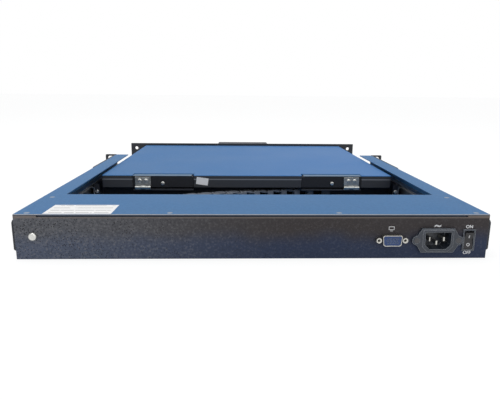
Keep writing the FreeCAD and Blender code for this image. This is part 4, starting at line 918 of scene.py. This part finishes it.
# Each level of a cap has its inset as a share of the taper, its height as a share of the key's, and the
# radius of its corners in mm. The last two go down into the dish.
cap_levels = ((0.0, 0.0, 0.6), (0.10, 0.12, 0.7), (0.86, 0.84, 1.5), (0.96, 0.95, 1.7), (1.10, 1.0, 1.8),
              (1.55, 0.975, 1.8), (2.6, 0.935, 1.6))
key_nodes = sorted(["key_row_%d" % k for k in range(1, 7)], key=lambda name: -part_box(name)[0].y)
for node, words in zip(key_nodes, legends):
    caps = Form()
    keys = sorted(solids_of(node), key=lambda corners: corners[0].x)
    for low, high in keys:
        centre = (low + high) / 2
        size = high - low
        loops = []
        for inset, rise, radius in cap_levels:
            taper = inset * cap_taper
            outline = round_cornered(size.x / 2 - taper, size.y / 2 - taper, radius * mm)
            shift = cap_lean * rise
            loops.append([(centre.x + x, centre.y + shift + y, low.z + rise * size.z) for x, y in outline])
        caps.skin(loops)
    surface = BVHTree.FromBMesh(caps.mesh)
    caps.piece(node + "_caps", key_plastic, node, [node])
    printed = Form()
    for (low, high), word in zip(keys, words):
        if word:
            centre = (low + high) / 2
            spot = Matrix.Translation((centre.x, centre.y + cap_lean, high.z))
            lay(printed, letters(word, letter_size if len(word) == 1 else key_word_size), spot, surface)
    printed.piece(node + "_legends", ink, node)


# Bay cover. Galvanised sheet over the circuit boards, with the crystals and rolling lines of its zinc.
# It lies between the keyboard and the tray's rear wall.


zinc = plated("zinc_plate", (0.62, 0.63, 0.61), 0.26, 1.2 * mm, (1.0, 1.0, 0.12), 0.5)
dress(zinc, "bay_cover")


# Circuit boards. Green laminate with copper runs and tinned pads under the solder mask. Two stand on posts
# under the bay cover, and one lies behind the menu buttons.


runs_per_metre = 400
pads_per_metre = 210.0
board = Finish("circuit_board", {"Coat Weight": 0.2})
tracks = board.place("X") * runs_per_metre + 2.0 * board.noise(20 * mm, 0.0)
runs = board.step(tracks.folded(1.0), 0.55, 0.62)
pads = board.step(0.20 - board.cells(pads_per_metre, "Distance"), 0.0, 0.04)
board_colour = board.mixed(0.6 * runs, (0.012, 0.085, 0.035), (0.030, 0.17, 0.075))
board_colour = board.mixed(pads, board_colour, (0.55, 0.53, 0.46))
board.feed(board_colour, 0.32 + 0.2 * board.noise(10 * mm), runs + pads, 0.3, 0.1 * mm)
dress(board, "power_board", "control_board", "menu_board")


# Screen lid. The shell is folded sheet with the chassis's blue coat on top, painted lighter and bluer towards
# one end as painted light; its walls and inside are black, with one pale painted highlight along the walls. A
# small blank label is stuck a little askew on the rear wall.


blue_rim = 0.8 * mm
wall_top = 2.2 * mm
wall_skin = 0.2 * mm
painted_light_start = 170 * mm
painted_light_end = -190 * mm
wall_highlight_edges = (6.6 * mm, 6.0 * mm, 5.2 * mm, 4.6 * mm)
lid_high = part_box("lid_shell")[1]
lid_coat, lid_colour, lid_rough, lid_peel, lid_soft = steel_blue(
    "lid_paint", (0.018, 0.122, 0.305), (0.034, 0.160, 0.400))
# Painted light: the lid's top is painted lighter and bluer towards one end.
painted_light_share = lid_coat.step(lid_coat.place("X"), painted_light_start, painted_light_end)
lid_colour = lid_coat.mixed(0.55 * painted_light_share, lid_colour, (0.048, 0.188, 0.480))
lid_height = lid_coat.place("Z")
rear_wall = (lid_coat.place("Y") > lid_high.y - wall_skin) * (lid_height < lid_high.z - blue_rim)
# A pale line painted along the black walls, as a painted highlight.
wall_highlight_foot, wall_highlight_low, wall_highlight_high, wall_highlight_head = [lid_high.z - drop_to for drop_to in wall_highlight_edges]
wall_highlight = lid_coat.step(lid_height, wall_highlight_foot, wall_highlight_low)
wall_highlight = wall_highlight * (1 - lid_coat.step(lid_height, wall_highlight_high, wall_highlight_head))
black = lid_coat.mixed(0.8 * wall_highlight, (0.050, 0.053, 0.060), (0.26, 0.27, 0.29))
lid_colour = lid_coat.mixed(rear_wall.most(lid_height < lid_high.z - wall_top), lid_colour, black)
lid_coat.feed(lid_colour, lid_rough, lid_peel, peel_strength, peel_depth, lid_soft)
dress(lid_coat, "lid_shell")
dress(black_plastic, "lid_bezel", "menu_buttons")

sticker_place = Vector((63.5 * mm, lid_high.y, 9.4 * mm))
sticker_half = Vector((8.2 * mm, 0, 5.0 * mm))
sticker_tilt = math.radians(-8)
askew = Matrix.Translation(sticker_place) @ Matrix.Rotation(sticker_tilt, 4, "Y")
sticker = Form()
sticker.slab(-sticker_half, sticker_half + Vector((0, paper_thickness, 0)), askew, paper_edge, 1)
sticker.piece("lid_sticker", paper("plain_paper"), "lid")


# Display. Dark glass with a faint grid of cells under a smooth front, set in the lid's bezel.
# Its sheen is a little uneven.


cell = 0.9 * mm
line_share = 0.25
glass = Finish("display_glass", {"Coat Weight": 0.6, "Coat Roughness": 0.05})
columns = (glass.place("X") * (1 / cell)).folded(1.0)
rows = (glass.place("Y") * (1 / cell)).folded(1.0)
grid = (columns < line_share).most(rows < line_share)
sheen = glass.noise(150 * mm, 2.0)
glass_colour = glass.mixed(sheen, (0.010, 0.011, 0.016), (0.016, 0.018, 0.026))
glass_colour = glass.mixed(grid, glass_colour, (0.004, 0.004, 0.006))
glass.feed(glass_colour, 0.16 + 0.1 * sheen, sheen, 0.02, 0.2 * mm)
dress(glass, "lcd_panel")


# Hinges. Zinc-plated leaves, upright on the lid's rear face and flat on the brackets, with domed screws.
# A moulded cover closes each of the lid's notches: black, with a blue-grey top band like the lid's.


blue_top_depth = 0.2 * mm
cover_plastic = Finish("hinge_cover_blue_top", {"Specular IOR Level": 0.3})
cover_grain = cover_plastic.noise(0.6 * mm, 2.0)
cover_soft = cover_plastic.edges(0.3 * mm)[0]
# The top band of each cover is coloured blue-grey, lighter than its black sides.
blue_top = cover_plastic.place("Z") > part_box("hinge_covers")[1].z - blue_top_depth
cover_colour = cover_plastic.mixed(cover_grain, (0.012, 0.013, 0.016), (0.020, 0.021, 0.026))
cover_colour = cover_plastic.mixed(blue_top, cover_colour, (0.085, 0.165, 0.270))
cover_plastic.feed(cover_colour, 0.42 + 0.15 * cover_grain, cover_grain, 0.3, 0.06 * mm, cover_soft)
dress(cover_plastic, "hinge_covers")
dress(zinc, "hinge_leaves_drawer", "hinge_leaves_lid")
rear_screws("hinge_screws", "lid")


# Cable chain. Twenty-nine nylon links lie on their side behind the drawer: each has a hollow body between
# two pairs of cheeks, and snaps onto the pins of the link before it. It bends in seven stretches, from a
# blackened anchor on the drawer to a zinc-plated foot on the chassis.


link_pitch = 20.0 * mm
link_half = 6.8 * mm
link_top = -4.5 * mm
link_foot = -19.1 * mm
link_wall = 1.5 * mm
link_rounding = 0.5 * mm
body_corner = 1.2 * mm
hollow_corner = 0.8 * mm
cheek = 1.5 * mm
cheek_edge = 0.25 * mm
step_in = 1.7 * mm
body_start = 5.8 * mm
body_end = 14.2 * mm
tip_reach = 4.8 * mm
pin_radius = 1.9 * mm
pin_chamfer = 0.25 * mm
pin_crown = 0.05 * mm
pin_sides = 32
hole_radius = 1.98 * mm
rib_rise = 0.4 * mm
rib_inset = 1.9 * mm
rib_half = 0.9 * mm
rib_reach = 5.6 * mm
rib_edge = 0.25 * mm
tab_half = 1.6 * mm
tab_low = -14.4 * mm
tab_high = -9.2 * mm
tab_sink = 0.35 * mm
tab_thickness = 0.3 * mm
tab_edge = 0.1 * mm
stretches = (5, 8, 1, 2, 3, 5, 5)
chain_heading = 7.8
turn_at = {13: 22.6, 14: 22.6, 15: 31.1, 16: 22.6, 17: 31.1}
turn_at.update({link: 5.4 for link in (2, 5, 9)})
turn_at.update({link: 12.8 for link in (20, 24)})
chain_plastic = moulded("chain_nylon", (0.100, 0.112, 0.134), (0.150, 0.166, 0.196), 0.42, 0.5 * mm,
                        (0.38, 0.41, 0.45), None, 0.5 * mm)
dress(black_zinc, "chain_anchor_drawer")
dress(zinc, "chain_anchor_chassis")


def eyed(form, pivot, ahead, low, high):
    """A cheek round a pivot: half an ellipse beyond it, straight sides towards the body, and an eye."""
    sides = 48
    loops = []
    for level, inset, eye in ((low, cheek_edge, False), (low + cheek_edge, 0.0, False),
                              (high - cheek_edge, 0.0, False), (high, cheek_edge, False),
                              (high, 0.0, True), (low, 0.0, True)):
        loop = []
        for k in range(sides):
            angle = 2 * math.pi * (k + 0.5) / sides
            along, aside = math.cos(angle), math.sin(angle)
            if eye:
                reach = hole_radius
            elif along * ahead > 0:
                reach = 1 / math.hypot(along / tip_reach, aside / link_half) - inset
            else:
                reach = (link_half - inset) / max(abs(aside), abs(along))
            loop.append((pivot + reach * along, reach * aside, level))
        loops.append(loop)
    form.skin(loops, capped=False)


def hollow_body(form):
    """The link's body, a rounded tube along the chain for the cables."""
    centre = (link_top + link_foot) / 2
    half_height = (link_top - link_foot) / 2
    outer_half = half_height - rib_rise
    inner_half = half_height - cheek - step_in
    loops = []
    for x, inset in ((body_start, link_rounding), (body_start + link_rounding, 0.0),
                     (body_end - link_rounding, 0.0), (body_end, link_rounding)):
        outline = round_cornered(link_half - inset, outer_half - inset, body_corner)
        loops.append([(x, y, centre + z) for y, z in outline])
    for x in (body_end, body_start):
        outline = round_cornered(link_half - link_wall, inner_half, hollow_corner)
        loops.append([(x, y, centre + z) for y, z in outline])
    form.skin(loops, capped=False)


link = Form()
hollow_body(link)
for x in (body_start + rib_inset, body_end - rib_inset):
    for low, high in ((link_top - 2 * rib_rise, link_top), (link_foot, link_foot + 2 * rib_rise)):
        link.slab((x - rib_half, -rib_reach, low), (x + rib_half, rib_reach, high), rounding=rib_edge)
tab_middle = (body_start + body_end) / 2
for side in (-1, 1):
    tab_start = side * (link_half - tab_sink)
    near, far = sorted((tab_start, tab_start + side * tab_thickness))
    link.slab((tab_middle - tab_half, near, tab_low), (tab_middle + tab_half, far, tab_high),
              rounding=tab_edge)
for low in (link_foot, link_top - cheek):
    eyed(link, 0.0, -1, low, low + cheek)
for low in (link_foot + step_in, link_top - cheek - step_in):
    eyed(link, link_pitch, 1, low, low + cheek)
for out, face in ((1, link_top), (-1, link_foot)):
    link.turned([(pin_radius, -cheek - step_in), (pin_radius, -pin_chamfer), (0.86 * pin_radius, -pin_crown),
                 (0.45 * pin_radius, 0.0)], facing((link_pitch, 0, face), (0, 0, out)), pin_sides)
link_mesh = bpy.data.meshes.new("link")
link.mesh.to_mesh(link_mesh)
link.mesh.free()
pivots = {joint["name"]: joint["pos_m"] for joint in frame["joints"] if joint.get("pos_m")}
spot = Vector((pivots["chain_hinge_01"][0], pivots["chain_hinge_01"][1], 0.0))
heading = chain_heading
number = 0
for index, count in enumerate(stretches):
    node = "chain_%02d" % (index + 1)
    stretch = Form()
    for _ in range(count):
        heading += turn_at.get(number, 0.0)
        turn = Matrix.Rotation(math.radians(heading), 4, "Z")
        copy = bmesh.new()
        copy.from_mesh(link_mesh)
        stretch.add(copy, Matrix.Translation(spot) @ turn)
        spot = spot + turn.to_3x3() @ Vector((link_pitch, 0, 0))
        number += 1
    stretch.piece(node + "_links", chain_plastic, node, [node])
bpy.data.meshes.remove(link_mesh)
